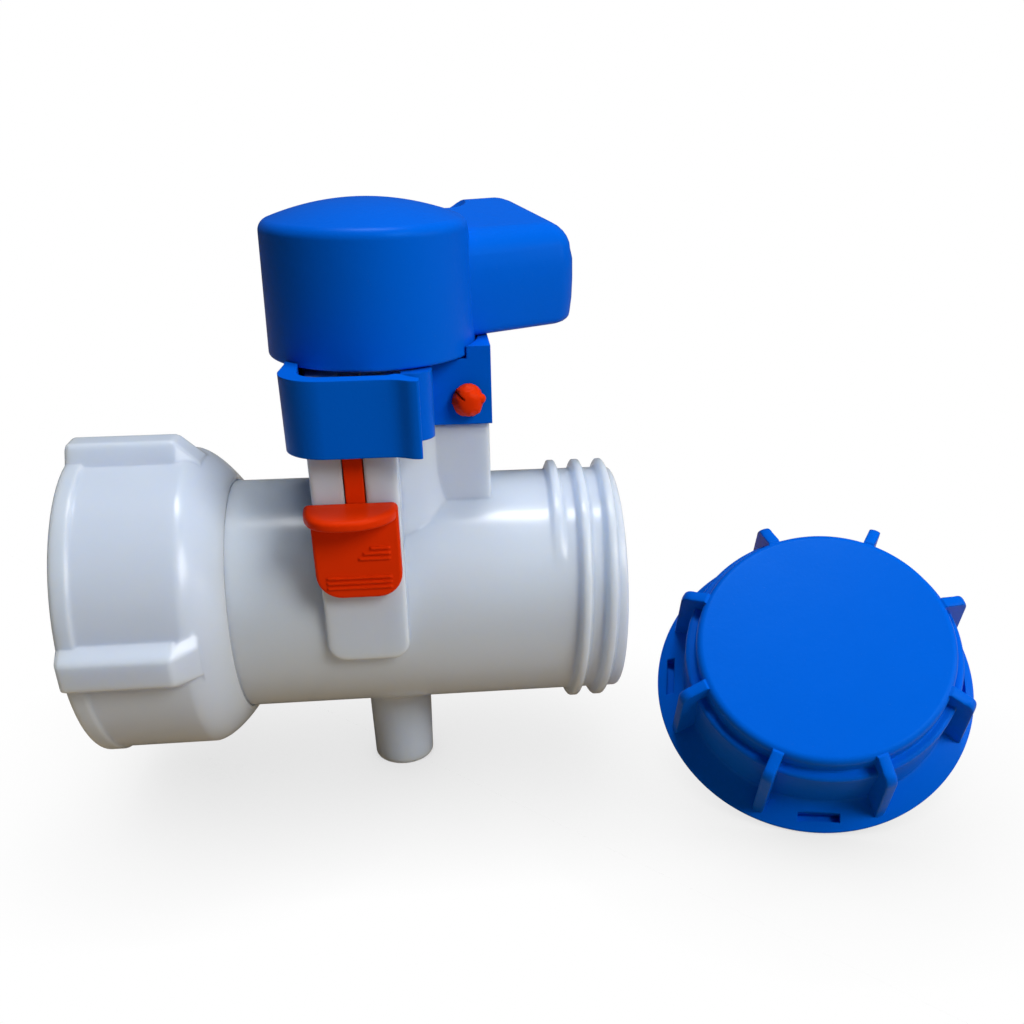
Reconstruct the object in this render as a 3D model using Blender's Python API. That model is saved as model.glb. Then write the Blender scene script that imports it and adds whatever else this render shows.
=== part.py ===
"""A moulded plastic butterfly valve for the outlet of a bulk liquid tank, with its dust cap taken off.

The pipe runs along X, from the union nut at -X to the threaded outlet at +X. The stem stands along Z.
The origin is the centre of the foot's flat end, below the crossing of the pipe and the stem.
All lengths are in metres and all angles in degrees.
"""

import math

import bmesh
import bpy
from mathutils import Matrix, Vector

# Overall places
PIPE_HEIGHT = 0.0488
FIT_GAP = 0.0003
OVERRUN = 0.004
OVERLAP = 0.0012

# Pipe
PIPE_RADIUS = 0.0277
PIPE_WALL = 0.0028
BORE_RADIUS = PIPE_RADIUS - PIPE_WALL
OUTLET_REACH = 0.0553
INLET_REACH = 0.0560
OUTLET_CHAMFER = 0.0009
BORE_CHAMFER = 0.0008

# Neck that holds the stem
NECK_RADIUS = 0.0163
NECK_RISE = 0.0323
NECK_TOP = PIPE_RADIUS + NECK_RISE
NECK_FLARE = 0.0022
NECK_FLARE_RISE = 0.0053
NECK_FLARE_TOP = PIPE_RADIUS + NECK_FLARE_RISE
NECK_WALL = 0.0024
STEM_TUBE_WALL = 0.0022
POCKET_RISE = 0.0083
POCKET_FLOOR = PIPE_RADIUS + POCKET_RISE
NECK_FLOOR_RISE = 0.0033
NECK_FLOOR = PIPE_RADIUS + NECK_FLOOR_RISE

# Foot under the pipe
FOOT_RADIUS = 0.0080
FOOT_DRAFT = 0.0003
FOOT_END_RADIUS = FOOT_RADIUS - FOOT_DRAFT
FOOT_ROUNDING = 0.0009
FOOT_FLARE = 0.0016

# Rail in front that guides the locking slide
RAIL_CENTRE = -0.0048
RAIL_HALF_WIDTH = 0.0092
RAIL_AHEAD = 0.0019
RAIL_FRONT = PIPE_RADIUS + RAIL_AHEAD
RAIL_BACK = 0.0090
RAIL_BOTTOM = -0.0048
RAIL_TOP_DROP = 0.0030
RAIL_TOP = NECK_TOP - RAIL_TOP_DROP
RAIL_CORNER = 0.0042
RAIL_EDGE = 0.0008
RAIL_WALL = 0.0032
RAIL_RELIEF = 0.0046
SLOT_HALF_WIDTH = 0.0023
SLOT_DROP = 0.0015
SLOT_BOTTOM = PIPE_RADIUS - SLOT_DROP
CHANNEL_HALF_WIDTH = 0.0056
CHANNEL_DEPTH = 0.0036
CHANNEL_RISE = 0.0013
CHANNEL_BOTTOM = SLOT_BOTTOM + CHANNEL_RISE

# Post at the right that carries the clip
POST_BITE = 0.0043
POST_ROOT = NECK_RADIUS - POST_BITE
POST_OUTSTAND = 0.0087
POST_FAR = NECK_RADIUS + POST_OUTSTAND
POST_HALF_DEPTH = 0.0100
POST_DROP = 0.0163
POST_TOP = NECK_TOP - POST_DROP
TAB_SETBACK = 0.0010
TAB_FAR = POST_FAR - TAB_SETBACK
TAB_WIDTH = 0.0074
TAB_NEAR = TAB_FAR - TAB_WIDTH
TAB_HALF_DEPTH = 0.0030

# Stem
TRUNNION_RADIUS = 0.0040
TRUNNION_DROP = 0.0121
TRUNNION_END = BORE_RADIUS + TRUNNION_DROP
HUB_SQUARE = 0.0056
BARREL_RADIUS = 0.0090
BARREL_DROP = 0.0028
BARREL_TOP = NECK_TOP - BARREL_DROP
STEM_SQUARE = 0.0110
RING_GROOVE_DEPTH = 0.0018
RING_GROOVE_WIDTH = 0.0030
UPPER_RING_DROP = 0.0102
UPPER_RING_HEIGHT = BARREL_TOP - UPPER_RING_DROP
RING_SPACING = 0.0070
LOWER_RING_HEIGHT = UPPER_RING_HEIGHT - RING_SPACING
WASHER_THICKNESS = 0.0012

# Stem retainer and wiper at the top of the neck
RETAINER_FLANGE = 0.0015
RETAINER_WALL = 0.0007
RETAINER_HOLE = BARREL_RADIUS - RETAINER_WALL
RETAINER_BRIM = 0.0018
RETAINER_RADIUS = BARREL_RADIUS + RETAINER_BRIM
WIPER_BEAD = 0.0021
WIPER_THICKNESS = 0.0014

# Bush in the foot
BUSH_RADIUS = 0.0056
BUSH_SETBACK = 0.0013
BUSH_TOP = BORE_RADIUS + BUSH_SETBACK
BUSH_END_GAP = 0.0010
BUSH_BOTTOM = TRUNNION_END + BUSH_END_GAP

# Disc
DISC_SETBACK = 0.0028
DISC_RADIUS = BORE_RADIUS - DISC_SETBACK
DISC_FLANGE_STEP = 0.0007
DISC_FLANGE_RADIUS = DISC_RADIUS + DISC_FLANGE_STEP
DISC_FLANGE = 0.0012
DISC_WEB = 0.0046
DISC_RIM_DEPTH = 0.0026
HUB_RADIUS = 0.0072
SEAL_HALF_WIDTH = 0.0056
SEAL_HOLE_RADIUS = TRUNNION_RADIUS + FIT_GAP

# Union nut, placed from the pipe's inlet end
NUT_SETBACK = 0.0100
NUT_SHOULDER = INLET_REACH - NUT_SETBACK
NUT_SOCKET = 0.0247
NUT_MOUTH = NUT_SHOULDER + NUT_SOCKET
NUT_CONE = 0.0105
NUT_END = NUT_SHOULDER - NUT_CONE
NUT_CURVE = 0.0092
NUT_CURVE_POWER_SHARE = 1.6
NUT_THREAD_GAP = 0.0025
NUT_THREAD_RADIUS = PIPE_RADIUS + NUT_THREAD_GAP
NUT_WALL = 0.0058
NUT_RADIUS = NUT_THREAD_RADIUS + NUT_WALL
NUT_RIM_STEP = 0.0006
NUT_RIM_RADIUS = NUT_RADIUS + NUT_RIM_STEP
NUT_RIM_LENGTH = 0.0045
NUT_ROUNDING = 0.0011
NUT_LIP = 0.0008
MOUTH_CHAMFER = 0.0010
LUG_COUNT = 4
LUG_HEIGHT = 0.0040
LUG_RADIUS = NUT_RADIUS + LUG_HEIGHT
LUG_BASE_HALF_WIDTH = 0.0068
LUG_TOP_HALF_WIDTH = 0.0034
LUG_LENGTH = 0.0244
LUG_END = NUT_MOUTH - LUG_LENGTH
LUG_SLOPE = 0.0052
LUG_ROUNDING = 0.0010
LUG_START_GAP = 0.0003

# Rings between the nut and the pipe
SLIP_WASHER = 0.0010
SLIP_GAP = 0.0004
SLIP_RADIUS = NUT_THREAD_RADIUS - SLIP_GAP
RETAINING_RING = 0.0027
RETAINING_OUTSTAND = 0.0019
RETAINING_RADIUS = PIPE_RADIUS + RETAINING_OUTSTAND
RETAINING_DEPTH = 0.0015
RETAINING_SPLIT = 0.0040
GASKET_THICKNESS = 0.0030
GASKET_OUTSTAND = 0.0002
GASKET_RADIUS = PIPE_RADIUS + GASKET_OUTSTAND
GASKET_INSTAND = 0.0005
GASKET_HOLE = BORE_RADIUS - GASKET_INSTAND

# Handle
LEVER_ANGLE = 29.0
KNOB_OUTSTAND = 0.0066
KNOB_RADIUS = NECK_RADIUS + KNOB_OUTSTAND
KNOB_DRAFT = 0.0008
KNOB_SHOULDER_RADIUS = KNOB_RADIUS - KNOB_DRAFT
KNOB_DROP = 0.0013
KNOB_BOTTOM = NECK_TOP - KNOB_DROP
KNOB_HEIGHT = 0.0263
KNOB_SHOULDER = KNOB_BOTTOM + KNOB_HEIGHT
KNOB_ROUNDING = 0.0026
KNOB_ROUNDING_TURN = 70.0
KNOB_RISE = 0.0048
KNOB_DOME = KNOB_SHOULDER + KNOB_RISE
KNOB_WALL = 0.0021
KNOB_RIM_ROUNDING = 0.0006
KNOB_ROOF_DROP = 0.0047
KNOB_ROOF = KNOB_SHOULDER - KNOB_ROOF_DROP
SOCKET_RADIUS = 0.0086
SOCKET_RISE = 0.0058
SOCKET_BOTTOM = KNOB_BOTTOM + SOCKET_RISE
STEM_ENGAGEMENT = 0.0130
STEM_TOP = SOCKET_BOTTOM + STEM_ENGAGEMENT
LEVER_OUTSTAND = 0.0241
LEVER_REACH = KNOB_RADIUS + LEVER_OUTSTAND
LEVER_HALF_WIDTH = 0.0145
LEVER_RISE = 0.0026
LEVER_BOTTOM = KNOB_BOTTOM + LEVER_RISE
LEVER_HEIGHT = 0.0217
LEVER_TOP = LEVER_BOTTOM + LEVER_HEIGHT
LEVER_SLOPE = 0.0056
LEVER_BACK = LEVER_TOP + LEVER_SLOPE
LEVER_CORNER = 0.0062
LEVER_TOP_ROUNDING = 0.0040
LEVER_BOTTOM_ROUNDING = 0.0022
LEVER_BULGE = 0.0006
LEVER_BULGE_SHARES = (0.3, 0.6)
LEVER_ROOT = 0.0100
LEVER_WALL = 0.0024
LEVER_CORE_GAP = 0.0021
LEVER_CORE_NEAR = KNOB_RADIUS + LEVER_CORE_GAP
LEVER_RIB = 0.0018
LEVER_RIB_COUNT = 2
NOTCH_RIB = 0.0020
NOTCH_RIB_INSET = 0.0034
NOTCH_RIB_INNER = KNOB_RADIUS - KNOB_WALL - NOTCH_RIB_INSET
NOTCH_RIB_RISE = 0.0025
NOTCH_RIB_BOTTOM = KNOB_BOTTOM + NOTCH_RIB_RISE
NOTCH_HALF_ANGLE = 12.0
HOLLOW_RADIUS = 0.0480
HOLLOW_SHARE = 0.655
HOLLOW_SINK = 0.0004
HOLLOW_BOTTOM = LEVER_TOP - HOLLOW_SINK
HOLLOW_SHARES = (-0.35, -0.1, 0.15, 0.4, 0.7, 1.0, 1.35)
SCOOP_RADIUS = 0.0090
SCOOP_ALONG_GAP = 0.0011
SCOOP_ACROSS_SHARE = 0.79
SCOOP_BOTTOM = LEVER_TOP

# Clip
CLIP_BOTTOM = POST_TOP + FIT_GAP
CLIP_HEIGHT = 0.0157
CLIP_TOP = CLIP_BOTTOM + CLIP_HEIGHT
CLIP_WALL = 0.0036
CLIP_FRONT_GAP = 0.0004
CLIP_NECK_GAP = 0.0005
CLIP_RING_GAP = 0.0006
CLIP_KNOB_GAP = 0.0007
CLIP_SIDE_GAP = 0.0026
CLIP_SIDE = NECK_RADIUS + CLIP_SIDE_GAP
CLIP_CORNER = 0.0090
CLIP_ROOT_TURN = 24.0
LIP_REACH = 0.0100
LIP_DIP = 0.0012
LIP_FLARE = 0.0009
LIP_END_WALL = 0.0020
LIP_START = 0.0055
LIP_SWELL = 0.0017
BLOCK_BITE = 0.0038
BLOCK_NEAR = NECK_RADIUS - BLOCK_BITE
BLOCK_OUTSTAND = 0.0006
BLOCK_FAR = POST_FAR + BLOCK_OUTSTAND
BLOCK_HALF_DEPTH = 0.0112
CATCH_WALL = 0.0030
CATCH_ROOT_TURN = 32.0
CATCH_NECK_TURN = 46.0
CATCH_CORNER = 0.0062
CATCH_AHEAD = 0.0073
CATCH_FRONT = NECK_RADIUS + CATCH_AHEAD
CATCH_END = 0.0062
CLIP_EDGE = 0.0006

# Pin of the clip
PIN_SETBACK = 0.0046
PIN_PLACE = POST_FAR - PIN_SETBACK
PIN_RISE = 0.0055
PIN_HEIGHT = CLIP_BOTTOM + PIN_RISE
TAB_HEADROOM = 0.0050
TAB_TOP = PIN_HEIGHT + TAB_HEADROOM
PIN_RADIUS = 0.0028
PIN_HEAD_BRIM = 0.0010
PIN_HEAD_RADIUS = PIN_RADIUS + PIN_HEAD_BRIM
PIN_HEAD = 0.0016
PIN_BARB_BRIM = 0.0009
PIN_BARB_RADIUS = PIN_RADIUS + PIN_BARB_BRIM
PIN_BARB = 0.0034
PIN_TIP_RADIUS = 0.0020
PIN_SLIT = 0.0009
PIN_SLIT_DEPTH = 0.0070
PIN_HOLE_GAP = 0.0003

# Locking slide, placed from the clip and the knob that it rises to
LOCK_TRAVEL = 0.0075
LOCK_CLEARANCE = 0.0005
LEDGE_TOP = CLIP_BOTTOM - LOCK_CLEARANCE - LOCK_TRAVEL
LEDGE_THICKNESS = 0.0042
LEDGE_REACH = 0.0086
LEDGE_HALF_WIDTH = 0.0098
LEDGE_SHIFT = -0.0007
LEDGE_EDGE = 0.0014
LEDGE_EDGE_SHARE = 0.3
LEDGE_ACROSS_SHARE = 0.72
LEDGE_AHEAD_SHARE = 0.62
SHIELD_THICKNESS = 0.0024
SHIELD_DROP = 0.0020
SHIELD_TOP = LEDGE_TOP - SHIELD_DROP
SHIELD_HEIGHT = 0.0218
SHIELD_BOTTOM = SHIELD_TOP - SHIELD_HEIGHT
SHIELD_HALF_WIDTH = 0.0091
SHIELD_CORNER = 0.0045
SHIELD_EDGE = 0.0007
BLADE_HALF_WIDTH = 0.0020
BLADE_GAP = 0.0006
BLADE_BOTTOM = SLOT_BOTTOM + BLADE_GAP
BLADE_TOP = KNOB_BOTTOM - LOCK_CLEARANCE - LOCK_TRAVEL
TONGUE_TOP_DROP = 0.0032
TONGUE_TOP = NECK_TOP - TONGUE_TOP_DROP
TONGUE_OVERLAP = 0.0030
TONGUE_BOTTOM = BLADE_TOP - TONGUE_OVERLAP
TONGUE_PLAY = 0.0013
TONGUE_SWING = KNOB_RADIUS - KNOB_WALL - TONGUE_PLAY
TONGUE_NECK = NECK_RADIUS + 2 * FIT_GAP
TONGUE_OUTER = math.sqrt(TONGUE_SWING**2 - (abs(RAIL_CENTRE) + BLADE_HALF_WIDTH)**2)
TONGUE_INNER = math.sqrt(TONGUE_NECK**2 - (abs(RAIL_CENTRE) - BLADE_HALF_WIDTH)**2)
TONGUE_MIDDLE = (TONGUE_INNER + TONGUE_OUTER) / 2
RUNNER_HALF_WIDTH = 0.0052
RUNNER_THICKNESS = 0.0028
RUNNER_GAP = 0.0007
RUNNER_BOTTOM = CHANNEL_BOTTOM + RUNNER_GAP
RUNNER_HEIGHT = 0.0178
RUNNER_TOP = RUNNER_BOTTOM + RUNNER_HEIGHT
GRIP_RIB_COUNT = 3
GRIP_RIB_PITCH = 0.0021
GRIP_RIB_HEIGHT = 0.0005
GRIP_RIB_WIDTH = 0.0008
GRIP_RIB_RISE = 0.0030
GRIP_RIB_BASE = SHIELD_BOTTOM + GRIP_RIB_RISE
GRIP_RIB_HALF_LENGTH = 0.0066

# Dust cap
CAP_PLACE = (0.1059, -0.0175)
CAP_TILT = 36.1
CAP_TILT_DIRECTION = 254.5
CAP_LUG_PHASE = 13.0
CAP_HEIGHT = 0.0247
CAP_BARREL_RADIUS = 0.0328
CAP_BARREL_WALL = 0.0022
CAP_FLANGE_OUTSTAND = 0.0067
CAP_FLANGE_RADIUS = CAP_BARREL_RADIUS + CAP_FLANGE_OUTSTAND
CAP_FLANGE_RIM = 0.0013
CAP_FLANGE_RISE = 0.0048
CAP_FLANGE_SKIN = 0.0016
CAP_DISC_STEP = 0.0049
CAP_LEDGE_HEIGHT = CAP_HEIGHT - CAP_DISC_STEP
CAP_DISC_SETBACK = 0.00245
CAP_DISC_RADIUS = CAP_BARREL_RADIUS - CAP_DISC_SETBACK
CAP_ROUNDING = 0.0010
CAP_DISC_WALL = 0.0026
CAP_SEAT_DEPTH = 0.0069
CAP_SEAT_HEIGHT = CAP_HEIGHT - CAP_SEAT_DEPTH
CAP_SEAT_STEP = 0.0023
CAP_SEAT_RADIUS = CAP_BARREL_RADIUS - CAP_BARREL_WALL - CAP_SEAT_STEP
CAP_LUG_COUNT = 8
CAP_LUG_THICKNESS = 0.0023
CAP_LUG_OUTSTAND = 0.0038
CAP_LUG_TOP_REACH = CAP_BARREL_RADIUS + CAP_LUG_OUTSTAND
CAP_LUG_SETBACK = 0.0015
CAP_LUG_FOOT_REACH = CAP_FLANGE_RADIUS - CAP_LUG_SETBACK
CAP_LUG_DROP = 0.0012
CAP_LUG_CORNER = 0.0026
CAP_SLOT_COUNT = 4
CAP_SLOT_SETBACK = 0.0033
CAP_SLOT_RADIUS = CAP_FLANGE_RADIUS - CAP_SLOT_SETBACK
CAP_SLOT_LENGTH = 0.0100
CAP_SLOT_WIDTH = 0.0019
CAP_GASKET_THICKNESS = 0.0020
CAP_GASKET_WIDTH = 0.0047
CAP_GASKET_HOLE = CAP_SEAT_RADIUS - CAP_GASKET_WIDTH

# Steps round a full circle
FINE_STEPS = 40
ROUND_STEPS = 28
SMALL_STEPS = 16
CORNER_STEPS = 4
SMOOTH_ANGLE = 32.0

# Colours, roughness and metallic value of each moulding
NATURAL = ("natural_polyethylene", (0.62, 0.66, 0.70), 0.32)
BLUE = ("blue_plastic", (0.006, 0.120, 0.620), 0.38)
ORANGE = ("orange_plastic", (0.800, 0.065, 0.008), 0.40)
WHITE = ("white_plastic", (0.74, 0.74, 0.72), 0.36)
BLACK_RUBBER = ("black_rubber", (0.016, 0.016, 0.017), 0.62)


def clear_scene():
    """Removes what the scene holds."""
    for thing in list(bpy.data.objects):
        bpy.data.objects.remove(thing)


def material(finish):
    """One material of its own for each piece, from a finish's colour and roughness."""
    name, colour, roughness = finish
    made = bpy.data.materials.new(name)
    made.use_nodes = True
    shader = made.node_tree.nodes["Principled BSDF"]
    shader.inputs["Base Color"].default_value = (*colour, 1.0)
    shader.inputs["Roughness"].default_value = roughness
    shader.inputs["Metallic"].default_value = 0.0
    return made


def new_object(name, mesh_builder):
    """An object from a bmesh, with its faces turned outward."""
    bmesh.ops.recalc_face_normals(mesh_builder, faces=mesh_builder.faces)
    mesh = bpy.data.meshes.new(name)
    mesh_builder.to_mesh(mesh)
    mesh_builder.free()
    piece = bpy.data.objects.new(name, mesh)
    bpy.context.scene.collection.objects.link(piece)
    return piece


def bake(piece):
    """Replaces the mesh of a piece by what its modifiers make of it."""
    graph = bpy.context.evaluated_depsgraph_get()
    mesh = bpy.data.meshes.new_from_object(piece.evaluated_get(graph))
    piece.modifiers.clear()
    piece.data = mesh


def combine(target, tool, operation):
    """Cuts, joins or intersects target with tool, and removes tool."""
    step = target.modifiers.new(operation.lower(), "BOOLEAN")
    step.operation = operation
    step.solver = "EXACT"
    step.object = tool
    bake(target)
    bpy.data.objects.remove(tool)


def cut(target, *tools):
    """Cuts each tool from target."""
    for tool in tools:
        combine(target, tool, "DIFFERENCE")


def join(target, *tools):
    """Joins each tool to target in one solid."""
    for tool in tools:
        combine(target, tool, "UNION")


def finish_piece(name, piece, finish, origin=(0, 0, 0)):
    """Names a piece, gives it its material, smooth shading and its origin on its joint's axis."""
    piece.name = name
    piece.data.name = name
    piece.data.materials.clear()
    piece.data.materials.append(material(finish))
    piece.data.shade_smooth()
    piece.data.set_sharp_from_angle(angle=math.radians(SMOOTH_ANGLE))
    place = Vector(origin)
    piece.data.transform(Matrix.Translation(-place))
    piece.location = place
    return piece


def move(piece, matrix):
    """Moves the mesh of a piece by a matrix."""
    piece.data.transform(matrix)
    return piece


def lifted(piece):
    """Moves a piece from the crossing of the pipe and the stem to its height over the foot."""
    return move(piece, Matrix.Translation((0, 0, PIPE_HEIGHT)))


def polar(radius, degrees):
    """A point at a radius and an angle in a plane."""
    angle = math.radians(degrees)
    return (radius * math.cos(angle), radius * math.sin(angle))


def arc(centre, radius, start, end, steps=CORNER_STEPS):
    """Points on an arc in a plane, with both ends."""
    points = []
    for step in range(steps + 1):
        across, up = polar(radius, start + (end - start) * step / steps)
        points.append((centre[0] + across, centre[1] + up))
    return points


def turned(name, profile, steps):
    """A solid turned round Z from a closed profile of (radius, height) points."""
    builder = bmesh.new()
    rings = []
    for radius, height in profile:
        if radius <= 0:
            rings.append([builder.verts.new((0, 0, height))])
            continue
        ring = []
        for step in range(steps):
            x, y = polar(radius, 360 * step / steps)
            ring.append(builder.verts.new((x, y, height)))
        rings.append(ring)
    for near, far in zip(rings, rings[1:] + rings[:1]):
        for step in range(steps):
            after = (step + 1) % steps
            if len(near) == 1 and len(far) == 1:
                break
            if len(near) == 1:
                builder.faces.new((near[0], far[step], far[after]))
            elif len(far) == 1:
                builder.faces.new((near[step], far[0], near[after]))
            else:
                builder.faces.new((near[step], far[step], far[after], near[after]))
    return new_object(name, builder)


def lofted(name, rings):
    """A solid through rings of equally many points, closed by a face at each end."""
    builder = bmesh.new()
    made = []
    for ring in rings:
        made.append([builder.verts.new(point) for point in ring])
    builder.faces.new(made[0])
    builder.faces.new(list(reversed(made[-1])))
    for near, far in zip(made, made[1:]):
        for step in range(len(near)):
            after = (step + 1) % len(near)
            builder.faces.new((near[step], near[after], far[after], far[step]))
    return new_object(name, builder)


def raised(name, outline, bottom, top):
    """A solid raised along Z from a closed outline of (x, y) points."""
    rings = [[(x, y, height) for x, y in outline] for height in (bottom, top)]
    return lofted(name, rings)


def block(name, low, high):
    """A box between two corners."""
    outline = ((low[0], low[1]), (high[0], low[1]), (high[0], high[1]), (low[0], high[1]))
    return raised(name, outline, low[2], high[2])


ALONG_X = Matrix.Rotation(math.radians(90), 4, "Y")
FACING_FRONT = Matrix.Rotation(math.radians(90), 4, "X")


def turned_along_pipe(name, profile, steps):
    """A solid turned round the pipe's axis from a closed profile of (radius, place along X) points."""
    return move(turned(name, profile, steps), ALONG_X)


def cylinder(name, radius, bottom, top, steps=ROUND_STEPS):
    """A plain cylinder round Z."""
    return turned(name, ((0, bottom), (radius, bottom), (radius, top), (0, top)), steps)


def ring(name, inner, outer, bottom, top, steps=ROUND_STEPS):
    """A plain ring round Z."""
    profile = ((inner, bottom), (outer, bottom), (outer, top), (inner, top))
    return turned(name, profile, steps)


# Pipe body

def retaining_groove():
    """Where the retaining ring's groove in the pipe starts and ends, as places along X."""
    end = -NUT_SHOULDER - FIT_GAP - SLIP_WASHER
    return (end - 2 * FIT_GAP - RETAINING_RING, end)


def pipe_shell():
    """The straight pipe, solid as yet, with its retaining groove and the outlet's chamfer."""
    groove_start, groove_end = retaining_groove()
    groove_radius = PIPE_RADIUS - RETAINING_DEPTH
    profile = (
        (0, -INLET_REACH),
        (PIPE_RADIUS - OUTLET_CHAMFER, -INLET_REACH),
        (PIPE_RADIUS, -INLET_REACH + OUTLET_CHAMFER),
        (PIPE_RADIUS, groove_start),
        (groove_radius, groove_start),
        (groove_radius, groove_end),
        (PIPE_RADIUS, groove_end),
        (PIPE_RADIUS, OUTLET_REACH - OUTLET_CHAMFER),
        (PIPE_RADIUS - OUTLET_CHAMFER, OUTLET_REACH),
        (0, OUTLET_REACH),
    )
    return turned_along_pipe("pipe", profile, FINE_STEPS)


def pipe_bore():
    """The bore through the pipe, with a small chamfer at each end."""
    flare = BORE_CHAMFER + OVERRUN
    profile = (
        (0, -INLET_REACH - OVERRUN),
        (BORE_RADIUS + flare, -INLET_REACH - OVERRUN),
        (BORE_RADIUS, -INLET_REACH + BORE_CHAMFER),
        (BORE_RADIUS, OUTLET_REACH - BORE_CHAMFER),
        (BORE_RADIUS + flare, OUTLET_REACH + OVERRUN),
        (0, OUTLET_REACH + OVERRUN),
    )
    return turned_along_pipe("bore", profile, FINE_STEPS)


def neck_shell():
    """The round neck with its open pocket, which flares where it meets the pipe."""
    tube = BARREL_RADIUS + FIT_GAP + STEM_TUBE_WALL
    wall = NECK_RADIUS - NECK_WALL
    root = math.sqrt(BORE_RADIUS**2 - NECK_RADIUS**2)
    profile = [(0, root), (NECK_RADIUS + NECK_FLARE, root)]
    flare_bottom = math.sqrt(PIPE_RADIUS**2 - NECK_RADIUS**2)
    for step in range(CORNER_STEPS + 1):
        share = step / CORNER_STEPS
        radius = NECK_RADIUS + NECK_FLARE * (1 - share) ** 2
        profile.append((radius, flare_bottom + (NECK_FLARE_TOP - flare_bottom) * share))
    profile += [
        (NECK_RADIUS, NECK_TOP),
        (wall, NECK_TOP),
        (wall, POCKET_FLOOR),
        (tube, POCKET_FLOOR),
        (tube, NECK_TOP),
        (0, NECK_TOP),
    ]
    return turned("neck", profile, ROUND_STEPS)


def outside_neck(piece):
    """Trims a piece that leans on the neck, so that the neck's pocket stays open."""
    inside = NECK_RADIUS - NECK_WALL / 2
    floor = POCKET_FLOOR - NECK_WALL
    cut(piece, cylinder("neck_inside", inside, floor, RAIL_TOP + OVERRUN, SMALL_STEPS))
    return piece


def neck_cavity():
    """The stem's hole through the pipe wall and its wider bore in the neck."""
    hole = TRUNNION_RADIUS + FIT_GAP
    bore = BARREL_RADIUS + FIT_GAP
    profile = (
        (0, 0),
        (hole, 0),
        (hole, NECK_FLOOR),
        (bore, NECK_FLOOR),
        (bore, NECK_TOP + OVERRUN),
        (0, NECK_TOP + OVERRUN),
    )
    return turned("neck_cavity", profile, SMALL_STEPS)


def foot_shell():
    """The peg under the pipe, with its flat end on the ground."""
    end = -PIPE_HEIGHT
    root = -math.sqrt(PIPE_RADIUS**2 - FOOT_RADIUS**2)
    inside = -BORE_RADIUS
    profile = [(0, end)]
    centre = (FOOT_END_RADIUS - FOOT_ROUNDING, end + FOOT_ROUNDING)
    profile += arc(centre, FOOT_ROUNDING, 270, 360, 2)
    profile += [
        (FOOT_RADIUS, root - 2 * FOOT_FLARE),
        (FOOT_RADIUS + FOOT_FLARE / 4, root - FOOT_FLARE),
        (FOOT_RADIUS + FOOT_FLARE, root),
        (FOOT_RADIUS + FOOT_FLARE, inside),
        (0, inside),
    ]
    return turned("foot", profile, ROUND_STEPS)


def foot_bearing():
    """The blind hole in the foot that holds the bush."""
    return cylinder("bearing", BUSH_RADIUS, -BUSH_BOTTOM, 0, SMALL_STEPS)


def rail_shell():
    """The upright rail in front of the neck and the pipe, with round lower corners."""
    low = (RAIL_CENTRE - RAIL_HALF_WIDTH, RAIL_BOTTOM)
    high = (RAIL_CENTRE + RAIL_HALF_WIDTH, RAIL_TOP)
    outline = [(high[0], high[1]), (low[0], high[1])]
    outline += arc((low[0] + RAIL_CORNER, low[1] + RAIL_CORNER), RAIL_CORNER, 180, 270)
    outline += arc((high[0] - RAIL_CORNER, low[1] + RAIL_CORNER), RAIL_CORNER, 270, 360)
    inner = []
    middle = ((low[0] + high[0]) / 2, (low[1] + high[1]) / 2)
    shrink_x = 1 - RAIL_EDGE / RAIL_HALF_WIDTH
    shrink_z = 1 - 2 * RAIL_EDGE / (high[1] - low[1])
    for x, z in outline:
        inner.append((middle[0] + (x - middle[0]) * shrink_x, middle[1] + (z - middle[1]) * shrink_z))
    rings = (
        [(x, -RAIL_BACK, z) for x, z in outline],
        [(x, -RAIL_FRONT + RAIL_EDGE, z) for x, z in outline],
        [(x, -RAIL_FRONT, z) for x, z in inner],
    )
    return lofted("rail", rings)


def rail_corner_relief():
    """What the rail's front left edge loses where the clip's arm turns round it."""
    left = RAIL_CENTRE - RAIL_HALF_WIDTH
    front = -RAIL_FRONT
    radius = RAIL_RELIEF
    outline = [(left - OVERRUN, front - OVERRUN), (left + radius, front - OVERRUN)]
    outline += arc((left + radius, front + radius), radius, 270, 180)
    outline.append((left - OVERRUN, front + radius))
    return raised("relief", outline, CLIP_BOTTOM - CLIP_EDGE, RAIL_TOP + OVERRUN)


def rail_slot():
    """The slot down the rail for the slide's blade."""
    neck_skin = NECK_RADIUS - FIT_GAP
    low = (RAIL_CENTRE - SLOT_HALF_WIDTH, -RAIL_FRONT - OVERRUN, SLOT_BOTTOM)
    high = (RAIL_CENTRE + SLOT_HALF_WIDTH, -neck_skin, RAIL_TOP + OVERRUN)
    return block("slot", low, high)


def rail_channel():
    """The wider channel behind the rail's front wall for the slide's runner."""
    front = -RAIL_FRONT + RAIL_WALL
    low = (RAIL_CENTRE - CHANNEL_HALF_WIDTH, front, CHANNEL_BOTTOM)
    high = (RAIL_CENTRE + CHANNEL_HALF_WIDTH, front + CHANNEL_DEPTH, RAIL_TOP + OVERRUN)
    return block("channel", low, high)


def post_shell():
    """The post at the right of the neck."""
    low = (POST_ROOT, -POST_HALF_DEPTH, NECK_FLOOR - PIPE_RADIUS / 2)
    return block("post", low, (POST_FAR, POST_HALF_DEPTH, POST_TOP))


def tab_shell():
    """The thinner tab on the post, which the clip's block goes over."""
    low = (TAB_NEAR, -TAB_HALF_DEPTH, POST_TOP - OVERLAP)
    return block("tab", low, (TAB_FAR, TAB_HALF_DEPTH, TAB_TOP))


def pin_bore(name, radius, half_length):
    """A round hole along Y at the pin's place."""
    hole = move(cylinder(name, radius, -half_length, half_length, SMALL_STEPS), FACING_FRONT)
    return move(hole, Matrix.Translation((PIN_PLACE, 0, PIN_HEIGHT)))


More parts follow.
